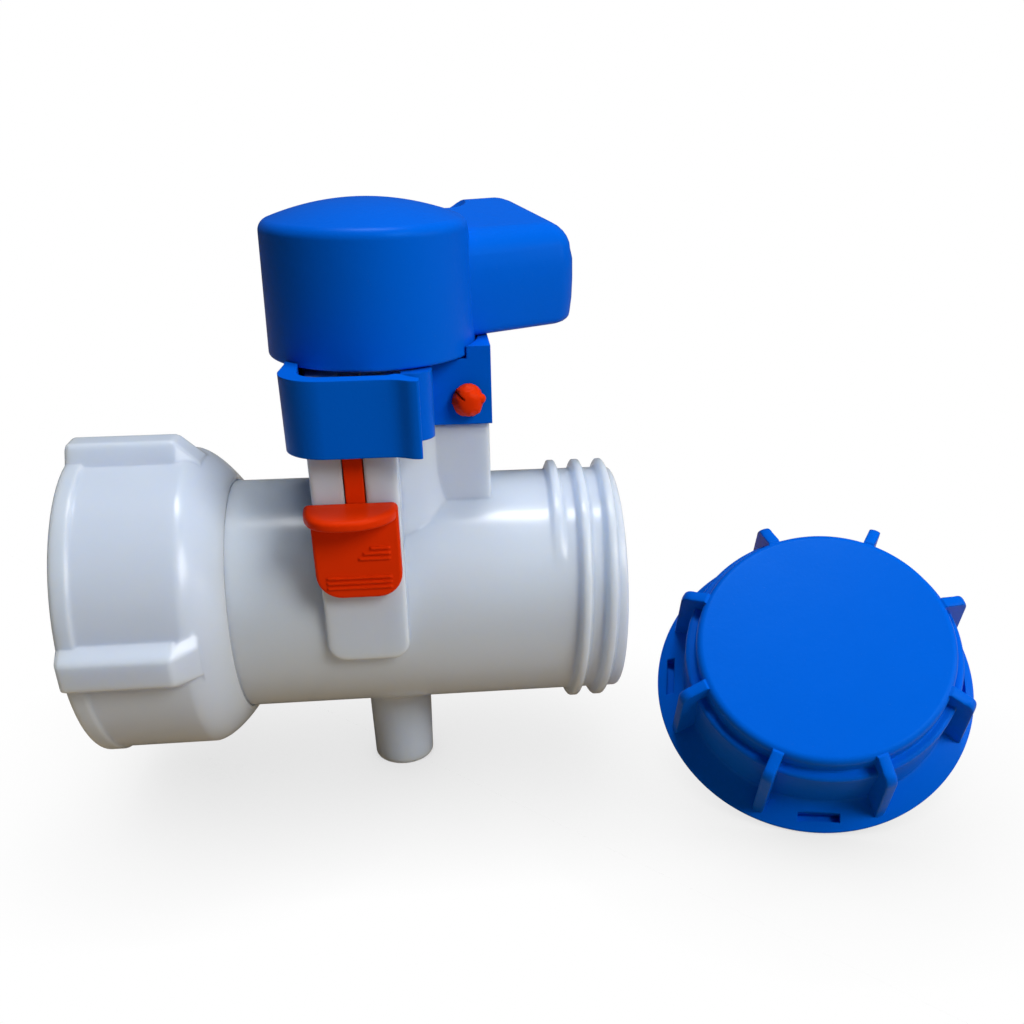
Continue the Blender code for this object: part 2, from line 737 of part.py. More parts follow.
def make_body():
    """The valve's one-piece moulding."""
    body = pipe_shell()
    post = post_shell()
    join(post, tab_shell())
    rail = outside_neck(rail_shell())
    cut(rail, rail_corner_relief())
    join(body, neck_shell(), foot_shell(), rail, outside_neck(post))
    cut(body, pipe_bore(), neck_cavity(), foot_bearing())
    cut(body, rail_slot(), rail_channel())
    cut(body, pin_bore("tab_hole", PIN_RADIUS + PIN_HOLE_GAP, POST_HALF_DEPTH))
    return finish_piece("valve_body", lifted(body), NATURAL)


# Stem and what seals and holds it

def square_section(half_side, height):
    """A square in the plane at a height."""
    return [
        (half_side, half_side, height),
        (-half_side, half_side, height),
        (-half_side, -half_side, height),
        (half_side, -half_side, height),
    ]


def turn_to_lever(piece):
    """Turns a piece from the open position to where the lever stands."""
    return move(piece, Matrix.Rotation(math.radians(LEVER_ANGLE), 4, "Z"))


def make_stem():
    """The stem: lower trunnion, square for the disc, upper trunnion, sealed barrel and square top."""
    hub_half = DISC_RADIUS - OVERLAP
    floor = NECK_FLOOR + 2 * FIT_GAP + WASHER_THICKNESS
    groove_radius = BARREL_RADIUS - RING_GROOVE_DEPTH
    half_groove = RING_GROOVE_WIDTH / 2
    profile = [(0, hub_half), (TRUNNION_RADIUS, hub_half), (TRUNNION_RADIUS, floor), (BARREL_RADIUS, floor)]
    for height in (LOWER_RING_HEIGHT, UPPER_RING_HEIGHT):
        profile += [
            (BARREL_RADIUS, height - half_groove),
            (groove_radius, height - half_groove),
            (groove_radius, height + half_groove),
            (BARREL_RADIUS, height + half_groove),
        ]
    profile += [(BARREL_RADIUS, BARREL_TOP), (0, BARREL_TOP)]
    stem = turned("stem", profile, SMALL_STEPS)
    half_square = STEM_SQUARE / 2
    chamfered = half_square - RING_GROOVE_DEPTH / 2
    top = lofted("square_top", (
        square_section(half_square, BARREL_TOP - OVERLAP),
        square_section(half_square, STEM_TOP - RING_GROOVE_DEPTH),
        square_section(chamfered, STEM_TOP),
    ))
    half_hub = HUB_SQUARE / 2
    hub = lofted("square_hub", (
        square_section(half_hub, -hub_half - OVERLAP),
        square_section(half_hub, hub_half + OVERLAP),
    ))
    trunnion = cylinder("trunnion", TRUNNION_RADIUS, -TRUNNION_END, -hub_half, SMALL_STEPS)
    join(stem, top, hub, trunnion)
    return finish_piece("stem", lifted(turn_to_lever(stem)), WHITE)


def make_stem_washer():
    """The thrust washer under the stem's barrel."""
    bottom = NECK_FLOOR + FIT_GAP
    hole = TRUNNION_RADIUS + FIT_GAP
    washer = ring("washer", hole, BARREL_RADIUS, bottom, bottom + WASHER_THICKNESS, SMALL_STEPS)
    return finish_piece("stem_thrust_washer", lifted(washer), WHITE)


def o_ring(name, inner, outer, height, width, steps):
    """A rubber ring of round section, a little flattened to its groove."""
    middle = (inner + outer) / 2
    profile = []
    section_steps = 6
    for step in range(section_steps):
        across, up = polar(1, 360 * step / section_steps)
        profile.append((middle + across * (outer - inner) / 2, height + up * width / 2))
    return turned(name, profile, steps)


def make_stem_ring(name, height):
    """One of the two rubber rings on the stem's barrel."""
    inner = BARREL_RADIUS - RING_GROOVE_DEPTH + FIT_GAP / 2
    outer = BARREL_RADIUS + FIT_GAP / 2
    width = RING_GROOVE_WIDTH - 2 * FIT_GAP
    return finish_piece(name, lifted(o_ring(name, inner, outer, height, width, SMALL_STEPS)), BLACK_RUBBER)


def make_retainer():
    """The flanged bush that snaps into the neck's inner tube and holds the stem down."""
    bottom = BARREL_TOP + FIT_GAP
    seat = NECK_TOP + FIT_GAP
    top = seat + RETAINER_FLANGE
    profile = (
        (RETAINER_HOLE, bottom),
        (BARREL_RADIUS, bottom),
        (BARREL_RADIUS, seat),
        (RETAINER_RADIUS, seat),
        (RETAINER_RADIUS, top),
        (RETAINER_HOLE, top),
    )
    return finish_piece("stem_retainer", lifted(turned("retainer", profile, SMALL_STEPS)), WHITE)


def make_wiper():
    """The rubber ring that keeps dirt out of the neck's open pocket."""
    inner = RETAINER_RADIUS + FIT_GAP
    bottom = NECK_TOP + FIT_GAP
    outer = NECK_RADIUS - FIT_GAP
    bead = outer - WIPER_BEAD / 2
    profile = (
        (inner, bottom),
        (outer, bottom),
        (outer, bottom + WIPER_THICKNESS / 2),
        (bead, bottom + WIPER_THICKNESS),
        (inner, bottom + WIPER_THICKNESS),
    )
    return finish_piece("neck_wiper_ring", lifted(turned("wiper", profile, ROUND_STEPS)), BLACK_RUBBER)


def make_foot_bush():
    """The bush in the foot that carries the stem's lower end."""
    hole = TRUNNION_RADIUS + FIT_GAP
    outer = BUSH_RADIUS - FIT_GAP
    bush = ring("bush", hole, outer, -BUSH_BOTTOM + FIT_GAP, -BUSH_TOP, SMALL_STEPS)
    return finish_piece("foot_bush", lifted(bush), WHITE)


# Disc

def make_disc():
    """The butterfly disc, turned round its own axis along Y, with a hub for the stem."""
    seal_half = SEAL_HALF_WIDTH + FIT_GAP
    outer_half = seal_half + DISC_FLANGE
    web_half = DISC_WEB / 2
    inner_rim = DISC_RADIUS - DISC_RIM_DEPTH
    profile = (
        (0, -web_half),
        (inner_rim - DISC_RIM_DEPTH / 2, -web_half),
        (inner_rim, -outer_half),
        (DISC_FLANGE_RADIUS, -outer_half),
        (DISC_FLANGE_RADIUS, -seal_half),
        (DISC_RADIUS, -seal_half),
        (DISC_RADIUS, seal_half),
        (DISC_FLANGE_RADIUS, seal_half),
        (DISC_FLANGE_RADIUS, outer_half),
        (inner_rim, outer_half),
        (inner_rim - DISC_RIM_DEPTH / 2, web_half),
        (0, web_half),
    )
    disc = move(turned("disc", profile, ROUND_STEPS), FACING_FRONT)
    join(disc, cylinder("hub", HUB_RADIUS, -inner_rim - OVERLAP, inner_rim + OVERLAP, SMALL_STEPS))
    half_hole = HUB_SQUARE / 2 + FIT_GAP
    hole = lofted("hub_hole", (
        square_section(half_hole, -DISC_RADIUS - OVERRUN),
        square_section(half_hole, DISC_RADIUS + OVERRUN),
    ))
    cut(disc, hole)
    for side in (-1, 1):
        seat = (DISC_RADIUS - OVERLAP - FIT_GAP) * side
        end = (DISC_RADIUS + OVERRUN) * side
        low, high = sorted((seat, end))
        cut(disc, cylinder("trunnion_hole", TRUNNION_RADIUS + FIT_GAP, low, high, SMALL_STEPS))
    return finish_piece("valve_disc", lifted(turn_to_lever(disc)), WHITE)


def make_disc_seal():
    """The rubber ring round the disc, spherical outside, with a hole for the stem at top and bottom."""
    inner = DISC_RADIUS + FIT_GAP
    sphere = BORE_RADIUS - FIT_GAP
    side_steps = 2
    profile = [(inner, -SEAL_HALF_WIDTH)]
    for step in range(side_steps + 1):
        across = SEAL_HALF_WIDTH * (2 * step / side_steps - 1)
        profile.append((math.sqrt(sphere**2 - across**2), across))
    profile.append((inner, SEAL_HALF_WIDTH))
    seal = move(turned("seal", profile, ROUND_STEPS), FACING_FRONT)
    reach = BORE_RADIUS + OVERRUN
    cut(seal, cylinder("stem_hole", SEAL_HOLE_RADIUS, -reach, reach, SMALL_STEPS))
    return finish_piece("disc_seal", lifted(turn_to_lever(seal)), BLACK_RUBBER)


# Union nut and its rings

def nut_lug(index):
    """One straight lug along the nut, with sloped flanks and a sloped end."""
    root = NUT_RADIUS - 2 * OVERLAP
    start = -NUT_MOUTH + LUG_START_GAP
    sections = (
        (start, LUG_RADIUS - 2 * LUG_ROUNDING),
        (start + 2 * LUG_ROUNDING, LUG_RADIUS),
        (-LUG_END, LUG_RADIUS),
        (-LUG_END + LUG_SLOPE, root + OVERLAP),
    )
    rings = []
    for place, crown in sections:
        shoulder = crown - LUG_ROUNDING * (crown - root) / (LUG_RADIUS - root)
        narrow = LUG_TOP_HALF_WIDTH - LUG_ROUNDING
        rings.append([
            (place, -LUG_BASE_HALF_WIDTH, root),
            (place, -LUG_TOP_HALF_WIDTH, shoulder),
            (place, -narrow, crown),
            (place, narrow, crown),
            (place, LUG_TOP_HALF_WIDTH, shoulder),
            (place, LUG_BASE_HALF_WIDTH, root),
        ])
    lug = lofted("lug", rings)
    return move(lug, Matrix.Rotation(math.radians(360 * index / LUG_COUNT), 4, "X"))


def make_nut():
    """The union nut with four lugs, a rounded shoulder and a cone down to the pipe."""
    hole = PIPE_RADIUS + FIT_GAP
    rim_end = -NUT_MOUTH + NUT_RIM_LENGTH
    rim_centre = (NUT_RIM_RADIUS - NUT_ROUNDING, -NUT_MOUTH + NUT_ROUNDING)
    step_down = NUT_RIM_RADIUS - NUT_RADIUS
    profile = [(NUT_THREAD_RADIUS + MOUTH_CHAMFER, -NUT_MOUTH)]
    profile += arc(rim_centre, NUT_ROUNDING, 270, 360, 2)
    profile += [(NUT_RIM_RADIUS, rim_end - step_down), (NUT_RADIUS, rim_end)]
    shoulder_drop = NUT_RADIUS - hole - NUT_LIP
    curve_steps = 5
    for step in range(curve_steps + 1):
        share = step / curve_steps
        drop = shoulder_drop * share**NUT_CURVE_POWER_SHARE
        profile.append((NUT_RADIUS - drop, -NUT_END - NUT_CURVE * (1 - share)))
    profile += [
        (hole, -NUT_END),
        (hole, -NUT_SHOULDER),
        (NUT_THREAD_RADIUS, -NUT_SHOULDER),
        (NUT_THREAD_RADIUS, -NUT_MOUTH + MOUTH_CHAMFER),
    ]
    nut = turned_along_pipe("nut", profile, FINE_STEPS)
    for index in range(LUG_COUNT):
        join(nut, nut_lug(index))
    return finish_piece("coupling_nut", lifted(nut), NATURAL, (0, 0, PIPE_HEIGHT))


def ring_on_pipe(name, inner, outer, start, end, steps=ROUND_STEPS):
    """A plain ring round the pipe's axis between two places along X."""
    return move(ring(name, inner, outer, start, end, steps), ALONG_X)


def make_slip_washer():
    """The thin washer on which the nut turns."""
    end = -NUT_SHOULDER - FIT_GAP
    washer = ring_on_pipe("slip", PIPE_RADIUS + FIT_GAP, SLIP_RADIUS, end - SLIP_WASHER, end)
    return finish_piece("nut_slip_washer", lifted(washer), WHITE)


def make_retaining_ring():
    """The split ring that snaps into the pipe's groove and holds the nut."""
    groove_start, groove_end = retaining_groove()
    inner = PIPE_RADIUS - RETAINING_DEPTH + FIT_GAP
    start = groove_start + FIT_GAP
    keeper = ring_on_pipe("keeper", inner, RETAINING_RADIUS, start, groove_end - FIT_GAP)
    half = RETAINING_SPLIT / 2
    low = (groove_start - OVERRUN, -half, PIPE_RADIUS - OVERRUN)
    high = (groove_end + OVERRUN, half, RETAINING_RADIUS + OVERRUN)
    cut(keeper, block("split", low, high))
    return finish_piece("nut_retaining_ring", lifted(keeper), WHITE)


def make_inlet_gasket():
    """The flat gasket on the pipe's inlet face."""
    end = -INLET_REACH - FIT_GAP
    gasket = ring_on_pipe("gasket", GASKET_HOLE, GASKET_RADIUS, end - GASKET_THICKNESS, end)
    return finish_piece("inlet_gasket", lifted(gasket), BLACK_RUBBER)


# Handle

def knob_shell():
    """The handle's drum with its rounded shoulder and domed top, solid as yet."""
    profile = [(0, KNOB_BOTTOM)]
    rim_centre = (KNOB_RADIUS - KNOB_RIM_ROUNDING, KNOB_BOTTOM + KNOB_RIM_ROUNDING)
    profile += arc(rim_centre, KNOB_RIM_ROUNDING, 270, 360, 2)
    shoulder_centre = (KNOB_SHOULDER_RADIUS - KNOB_ROUNDING, KNOB_SHOULDER - KNOB_ROUNDING / 2)
    profile += arc(shoulder_centre, KNOB_ROUNDING, 0, KNOB_ROUNDING_TURN, 3)
    dome_steps = 5
    start_radius, start_height = profile[-1]
    rise = KNOB_DOME - start_height
    for step in range(1, dome_steps):
        share = 1 - step / dome_steps
        profile.append((start_radius * share, start_height + rise * (1 - share**2)))
    profile.append((0, KNOB_DOME))
    return turned("knob", profile, FINE_STEPS)


def lever_levels():
    """Heights of the lever's sections, and how far its outline is drawn in at each."""
    levels = []
    for step in range(2, -1, -1):
        turn = math.radians(90 * step / 2)
        gap = LEVER_BOTTOM_ROUNDING * (1 - math.cos(turn))
        levels.append((LEVER_BOTTOM + LEVER_BOTTOM_ROUNDING * (1 - math.sin(turn)), gap))
    for share in LEVER_BULGE_SHARES:
        height = LEVER_BOTTOM + LEVER_HEIGHT * share
        levels.append((height, -LEVER_BULGE * math.sin(math.pi * share)))
    for step in range(5):
        turn = math.radians(90 * step / 4)
        gap = LEVER_TOP_ROUNDING * (1 - math.cos(turn))
        levels.append((LEVER_TOP - LEVER_TOP_ROUNDING * (1 - math.sin(turn)), gap))
    return levels


def lever_hollow():
    """What is taken off the lever's top, which is a trough that rises to the back."""
    across = -LEVER_HALF_WIDTH * HOLLOW_SHARE
    section = []
    for share in HOLLOW_SHARES:
        offset = share * (LEVER_HALF_WIDTH + OVERRUN - across)
        rise = HOLLOW_RADIUS - math.sqrt(HOLLOW_RADIUS**2 - offset**2)
        section.append((across + offset, HOLLOW_BOTTOM + rise))
    roof = section[-1][1] + LEVER_SLOPE
    section.append((section[-1][0], roof))
    section.append((section[0][0], roof))
    rings = []
    for x in (LEVER_ROOT - OVERRUN, LEVER_REACH + OVERRUN):
        rings.append([(x, y, height) for y, height in section])
    return lofted("hollow", rings)


def finger_scoop():
    """A round dish at the lever's back beside the dome."""
    centre = SCOOP_BOTTOM + SCOOP_RADIUS
    profile = [(0, SCOOP_BOTTOM)]
    profile += arc((0, centre), SCOOP_RADIUS, 290, 350, 4)
    profile.append((profile[-1][0], LEVER_BACK + SCOOP_RADIUS))
    profile.append((0, LEVER_BACK + SCOOP_RADIUS))
    scoop = turned("scoop", profile, ROUND_STEPS)
    along = KNOB_RADIUS + SCOOP_ALONG_GAP
    across = LEVER_HALF_WIDTH * SCOOP_ACROSS_SHARE
    return move(scoop, Matrix.Translation((along, across, 0)))


def lever_shell():
    """The lever, rounded on all its free edges, trimmed at the dome and hollowed on its sloping top."""
    rings = []
    steepness = LEVER_SLOPE / LEVER_HEIGHT
    for height, gap in lever_levels():
        low = -LEVER_HALF_WIDTH + gap
        high = LEVER_HALF_WIDTH - gap
        reach = LEVER_REACH - gap
        corner = max(LEVER_CORNER - gap, LEVER_WALL / 2)
        outline = [(LEVER_ROOT, high), (LEVER_ROOT, low)]
        outline += arc((reach - corner, low + corner), corner, 270, 360)
        outline += arc((reach - corner, high - corner), corner, 0, 90)
        ring_points = []
        for x, y in outline:
            share = (y + LEVER_HALF_WIDTH) / (2 * LEVER_HALF_WIDTH)
            stretch = 1 + steepness * share
            ring_points.append((x, y, LEVER_BOTTOM + (height - LEVER_BOTTOM) * stretch))
        rings.append(ring_points)
    lever = lofted("lever", rings)
    trim = KNOB_SHOULDER_RADIUS - OVERLAP
    floor = KNOB_SHOULDER - KNOB_ROUNDING
    cut(lever, cylinder("dome_trim", trim, floor, LEVER_BACK + OVERRUN, ROUND_STEPS))
    cut(lever, lever_hollow())
    cut(lever, finger_scoop())
    return lever


def lever_core(index):
    """One of the pockets cored out of the lever from below, between its ribs."""
    pocket_count = LEVER_RIB_COUNT + 1
    span = LEVER_REACH - LEVER_WALL - LEVER_CORE_NEAR
    length = (span - LEVER_RIB * LEVER_RIB_COUNT) / pocket_count
    near = LEVER_CORE_NEAR + index * (length + LEVER_RIB)
    low = (near, -LEVER_HALF_WIDTH + LEVER_WALL)
    high = (near + length, LEVER_HALF_WIDTH - LEVER_WALL)
    top = HOLLOW_BOTTOM - LEVER_WALL
    corner = LEVER_WALL / 2
    if index == pocket_count - 1:
        corner = LEVER_CORNER - LEVER_WALL
    outline = [(low[0], high[1]), (low[0], low[1])]
    outline += arc((high[0] - corner, low[1] + corner), corner, 270, 360, 3)
    outline += arc((high[0] - corner, high[1] - corner), corner, 0, 90, 3)
    return raised("core", outline, LEVER_BOTTOM - OVERRUN, top)


def knob_cavity():
    """The hollow of the drum round its central socket."""
    inner_radius = KNOB_RADIUS - KNOB_WALL
    roof_radius = KNOB_SHOULDER_RADIUS - KNOB_WALL
    profile = (
        (0, KNOB_BOTTOM - OVERRUN),
        (inner_radius, KNOB_BOTTOM - OVERRUN),
        (inner_radius, KNOB_BOTTOM),
        (roof_radius, KNOB_ROOF - KNOB_WALL),
        (roof_radius - KNOB_WALL, KNOB_ROOF),
        (SOCKET_RADIUS, KNOB_ROOF),
        (SOCKET_RADIUS, SOCKET_BOTTOM),
        (0, SOCKET_BOTTOM),
    )
    return turned("knob_cavity", profile, FINE_STEPS)


def notch_rib(degrees):
    """A rib inside the drum's skirt beside a place where the locking slide engages."""
    outer = KNOB_RADIUS - KNOB_WALL / 2
    half = NOTCH_RIB / 2
    ends = ((NOTCH_RIB_BOTTOM, outer - KNOB_DRAFT / 4), (KNOB_ROOF + OVERLAP, outer - KNOB_DRAFT))
    rings = []
    for height, reach in ends:
        ring = [(NOTCH_RIB_INNER, -half, height), (reach, -half, height)]
        ring += [(reach, half, height), (NOTCH_RIB_INNER, half, height)]
        rings.append(ring)
    rib = lofted("rib", rings)
    return move(rib, Matrix.Rotation(math.radians(degrees), 4, "Z"))


def make_handle():
    """The handle: drum, lever, square socket and the ribs that the locking slide holds."""
    handle = knob_shell()
    lever = lever_shell()
    join(handle, lever)
    cut(handle, knob_cavity())
    for index in range(LEVER_RIB_COUNT + 1):
        cut(handle, lever_core(index))
    half_socket = STEM_SQUARE / 2 + FIT_GAP
    socket = lofted("socket", (
        square_section(half_socket, SOCKET_BOTTOM - OVERRUN),
        square_section(half_socket, STEM_TOP + FIT_GAP),
    ))
    cut(handle, socket)
    lock_direction = math.degrees(math.atan2(-TONGUE_MIDDLE, RAIL_CENTRE))
    for stop in (0, 90):
        for side in (-1, 1):
            join(handle, notch_rib(lock_direction - stop + side * NOTCH_HALF_ANGLE))
    return finish_piece("handle", lifted(turn_to_lever(handle)), BLUE)


# Locking slide

def shield_shell():
    """The plate in front of the rail, with round lower corners and softened edges."""
    back = -RAIL_FRONT - FIT_GAP
    front = back - SHIELD_THICKNESS
    rings = []
    for depth, gap in ((back, 0), (front + SHIELD_EDGE, 0), (front, SHIELD_EDGE)):
        left = RAIL_CENTRE - SHIELD_HALF_WIDTH + gap
        right = RAIL_CENTRE + SHIELD_HALF_WIDTH - gap
        bottom = SHIELD_BOTTOM + gap
        corner = SHIELD_CORNER - gap
        outline = [(right, SHIELD_TOP), (left, SHIELD_TOP)]
        outline += arc((left + corner, bottom + corner), corner, 180, 270)
        outline += arc((right - corner, bottom + corner), corner, 270, 360)
        rings.append([(x, depth, z) for x, z in outline])
    return lofted("shield", rings)


def ledge_shell():
    """The thumb ledge on top of the shield, bulged to the front and rounded at its edge."""
    back = -RAIL_FRONT - FIT_GAP
    middle = RAIL_CENTRE + LEDGE_SHIFT
    bottom = LEDGE_TOP - LEDGE_THICKNESS
    soft = LEDGE_EDGE * LEDGE_EDGE_SHARE
    levels = (
        (bottom, LEDGE_EDGE),
        (bottom + soft, soft),
        (bottom + LEDGE_EDGE, 0),
        (LEDGE_TOP - LEDGE_EDGE, 0),
        (LEDGE_TOP - soft, soft),
        (LEDGE_TOP, LEDGE_EDGE),
    )
    rings = []
    front_steps = 12
    for height, gap in levels:
        section = []
        for step in range(front_steps + 1):
            turn = math.pi * (1 + step / front_steps)
            across = math.copysign(abs(math.cos(turn)) ** LEDGE_ACROSS_SHARE, math.cos(turn))
            ahead = abs(math.sin(turn)) ** LEDGE_AHEAD_SHARE
            x = middle + (LEDGE_HALF_WIDTH - gap) * across
            section.append((x, back - (LEDGE_REACH - gap) * ahead, height))
        rings.append(section)
    return lofted("ledge", rings)


def grip_rib(index):
    """A low raised line across the shield."""
    front = -RAIL_FRONT - FIT_GAP - SHIELD_THICKNESS
    middle = GRIP_RIB_BASE + index * GRIP_RIB_PITCH
    half = GRIP_RIB_WIDTH / 2
    left = RAIL_CENTRE - GRIP_RIB_HALF_LENGTH
    right = RAIL_CENTRE + GRIP_RIB_HALF_LENGTH
    crest = front - GRIP_RIB_HEIGHT
    rings = []
    for depth, rise, draw_in in ((front + OVERLAP, half, 0), (front, half, 0), (crest, half / 4, half)):
        ring = [(left + draw_in, depth, middle - rise), (right - draw_in, depth, middle - rise)]
        ring += [(right - draw_in, depth, middle + rise), (left + draw_in, depth, middle + rise)]
        rings.append(ring)
    return lofted("grip", rings)


def make_lock_slider():
    """The locking slide: shield, thumb ledge, blade in the rail's slot, runner behind and tongue on top."""
    slide = shield_shell()
    join(slide, ledge_shell())
    back = -RAIL_FRONT - FIT_GAP
    left = RAIL_CENTRE - BLADE_HALF_WIDTH
    right = RAIL_CENTRE + BLADE_HALF_WIDTH
    root = back - SHIELD_THICKNESS / 2
    blade = block("blade", (left, root, BLADE_BOTTOM), (right, -TONGUE_MIDDLE, SHIELD_TOP))
    low = (left, -RAIL_FRONT, SHIELD_TOP - OVERLAP)
    upper = block("upper_blade", low, (right, -TONGUE_MIDDLE, BLADE_TOP))
    low = (left, -TONGUE_OUTER, TONGUE_BOTTOM)
    tongue = block("tongue", low, (right, -TONGUE_INNER, TONGUE_TOP))
    runner_front = -RAIL_FRONT + RAIL_WALL + FIT_GAP
    runner = block(
        "runner",
        (RAIL_CENTRE - RUNNER_HALF_WIDTH, runner_front, RUNNER_BOTTOM),
        (RAIL_CENTRE + RUNNER_HALF_WIDTH, runner_front + RUNNER_THICKNESS, RUNNER_TOP),
    )
    join(slide, blade, upper, tongue, runner)
    for index in range(GRIP_RIB_COUNT):
        join(slide, grip_rib(index))
    return finish_piece("lock_slider", lifted(slide), ORANGE)


# Clip

def band(path, half_walls):
    """The outline of a band along a path of (x, y) points, with half its wall at each point."""
    left = []
    right = []
    for index, point in enumerate(path):
        before = Vector(path[max(index - 1, 0)])
        after = Vector(path[min(index + 1, len(path) - 1)])
        along = (after - before).normalized()
        across = Vector((-along.y, along.x)) * half_walls[index]
        left.append(tuple(Vector(point) + across))
        right.append(tuple(Vector(point) - across))
    return left + list(reversed(right))


def knob_clearance(piece):
    """Lowers the top of a piece where the knob turns over it."""
    knob_gap = KNOB_RADIUS + CLIP_KNOB_GAP
    knob_floor = KNOB_BOTTOM - CLIP_KNOB_GAP
    cut(piece, cylinder("knob_room", knob_gap, knob_floor, CLIP_TOP + OVERRUN, FINE_STEPS))
    return piece


def clip_band():
    """The clip's open ring round the back of the neck and its arm, which ends in a flared lip in front."""
    half = CLIP_WALL / 2
    ring_middle = NECK_RADIUS + CLIP_RING_GAP + half
    front_middle = -RAIL_FRONT - CLIP_FRONT_GAP - half
    side_middle = -CLIP_SIDE + half
    corner = CLIP_CORNER - half
    path = arc((0, 0), ring_middle, -CLIP_ROOT_TURN, 180, 24)
    path.append((-ring_middle, front_middle / 4))
    path += arc((side_middle + corner, front_middle + corner), corner, 180, 270, 8)
    half_walls = [half] * len(path)
    swell = (CLIP_WALL + LIP_SWELL) / 2
    bend = (
        (LIP_START - LIP_REACH / 2, 0, half),
        (LIP_START, 0, half),
        (LIP_START + CLIP_EDGE, LIP_SWELL / 2, swell),
        ((LIP_START + LIP_REACH) / 2, LIP_SWELL / 2 + LIP_DIP / 2, half),
        (LIP_REACH - LIP_END_WALL, LIP_DIP / 4, (half + LIP_END_WALL / 2) / 2),
        (LIP_REACH, -LIP_FLARE, LIP_END_WALL / 2),
    )
    for along, back, wall in bend:
        path.append((along, front_middle + back))
        half_walls.append(wall)
    return knob_clearance(raised("clip_band", band(path, half_walls), CLIP_BOTTOM, CLIP_TOP))


def clip_catch():
    """The short arm from the block's front, which the lip covers."""
    half = CATCH_WALL / 2
    side = BLOCK_NEAR - half
    front = -CATCH_FRONT + half
    corner = CATCH_CORNER - half
    round_neck = NECK_RADIUS + CLIP_RING_GAP + half
    path = [polar(round_neck, -CATCH_ROOT_TURN), polar(round_neck, -CATCH_NECK_TURN)]
    path += arc((side - corner, front + corner), corner, 360, 270, 6)
    path.append((CATCH_END, front))
    top = KNOB_BOTTOM - CLIP_KNOB_GAP
    return raised("clip_catch", band(path, [half] * len(path)), CLIP_BOTTOM, top)


def clip_block():
    """The block over the post's tab, hollowed a little round the neck."""
    low = (BLOCK_NEAR - CATCH_WALL, -BLOCK_HALF_DEPTH, CLIP_BOTTOM)
    made = block("clip_block", low, (BLOCK_FAR, BLOCK_HALF_DEPTH, CLIP_TOP))
    neck_gap = NECK_RADIUS + CLIP_NECK_GAP
    cut(made, cylinder("neck_room", neck_gap, CLIP_BOTTOM - OVERRUN, CLIP_TOP + OVERRUN, ROUND_STEPS))
    return knob_clearance(made)


def make_clip():
    """The clip: ring, arm with lip, catch and block, cleared for the neck, the knob and the tab."""
    clip = clip_block()
    join(clip, clip_band(), clip_catch())
    tab_low = (TAB_NEAR - FIT_GAP, -TAB_HALF_DEPTH - FIT_GAP, CLIP_BOTTOM - OVERRUN)
    tab_high = (TAB_FAR + FIT_GAP, TAB_HALF_DEPTH + FIT_GAP, TAB_TOP + FIT_GAP)
    cut(clip, block("tab_room", tab_low, tab_high))
    cut(clip, pin_bore("pin_room", PIN_RADIUS + PIN_HOLE_GAP, BLOCK_HALF_DEPTH + OVERRUN))
    head_gap = PIN_HEAD_RADIUS + FIT_GAP
    head_room = cylinder("head_room", head_gap, -BLOCK_HALF_DEPTH - OVERRUN, -BLOCK_HALF_DEPTH, SMALL_STEPS)
    cut(clip, move(head_room, Matrix.Translation((PIN_PLACE, 0, PIN_HEIGHT)) @ FACING_FRONT))
    return finish_piece("lock_clip", lifted(clip), BLUE)


def make_pin():
    """The snap pin through the block and the tab: head at the back, split barb at the front."""
    head_start = -BLOCK_HALF_DEPTH - FIT_GAP
    barb_start = BLOCK_HALF_DEPTH + FIT_GAP
    profile = (
        (0, head_start - PIN_HEAD),
        (PIN_HEAD_RADIUS - PIN_HEAD / 2, head_start - PIN_HEAD),
        (PIN_HEAD_RADIUS, head_start - PIN_HEAD / 2),
        (PIN_HEAD_RADIUS, head_start),
        (PIN_RADIUS, head_start),
        (PIN_RADIUS, barb_start),
        (PIN_BARB_RADIUS, barb_start),
        (PIN_BARB_RADIUS, barb_start + PIN_BARB / 4),
        (PIN_TIP_RADIUS, barb_start + PIN_BARB),
        (0, barb_start + PIN_BARB),
    )
    pin = move(turned("pin", profile, SMALL_STEPS), FACING_FRONT)
    half = PIN_SLIT / 2
    tip = -barb_start - PIN_BARB
    low = (-half, tip - OVERRUN, -PIN_BARB_RADIUS - OVERRUN)
    high = (half, tip + PIN_SLIT_DEPTH, PIN_BARB_RADIUS + OVERRUN)
    cut(pin, block("slit", low, high))
    move(pin, Matrix.Translation((PIN_PLACE, 0, PIN_HEIGHT)))
    return finish_piece("clip_pin", lifted(pin), ORANGE)


# Dust cap

def cap_frame():
    """The cap's place and tilt: its lowest edge is on the ground."""
    tilt = math.radians(CAP_TILT)
    x, y = polar(math.sin(tilt), CAP_TILT_DIRECTION)
    axis = Vector((x, y, math.cos(tilt)))
    across = (Vector((1, 0, 0)) - axis * axis.x).normalized()
    along = axis.cross(across)
    height = CAP_FLANGE_RADIUS * math.sin(tilt)
    turn = Matrix((across, along, axis)).transposed().to_4x4()
    return Matrix.Translation((*CAP_PLACE, height)) @ turn


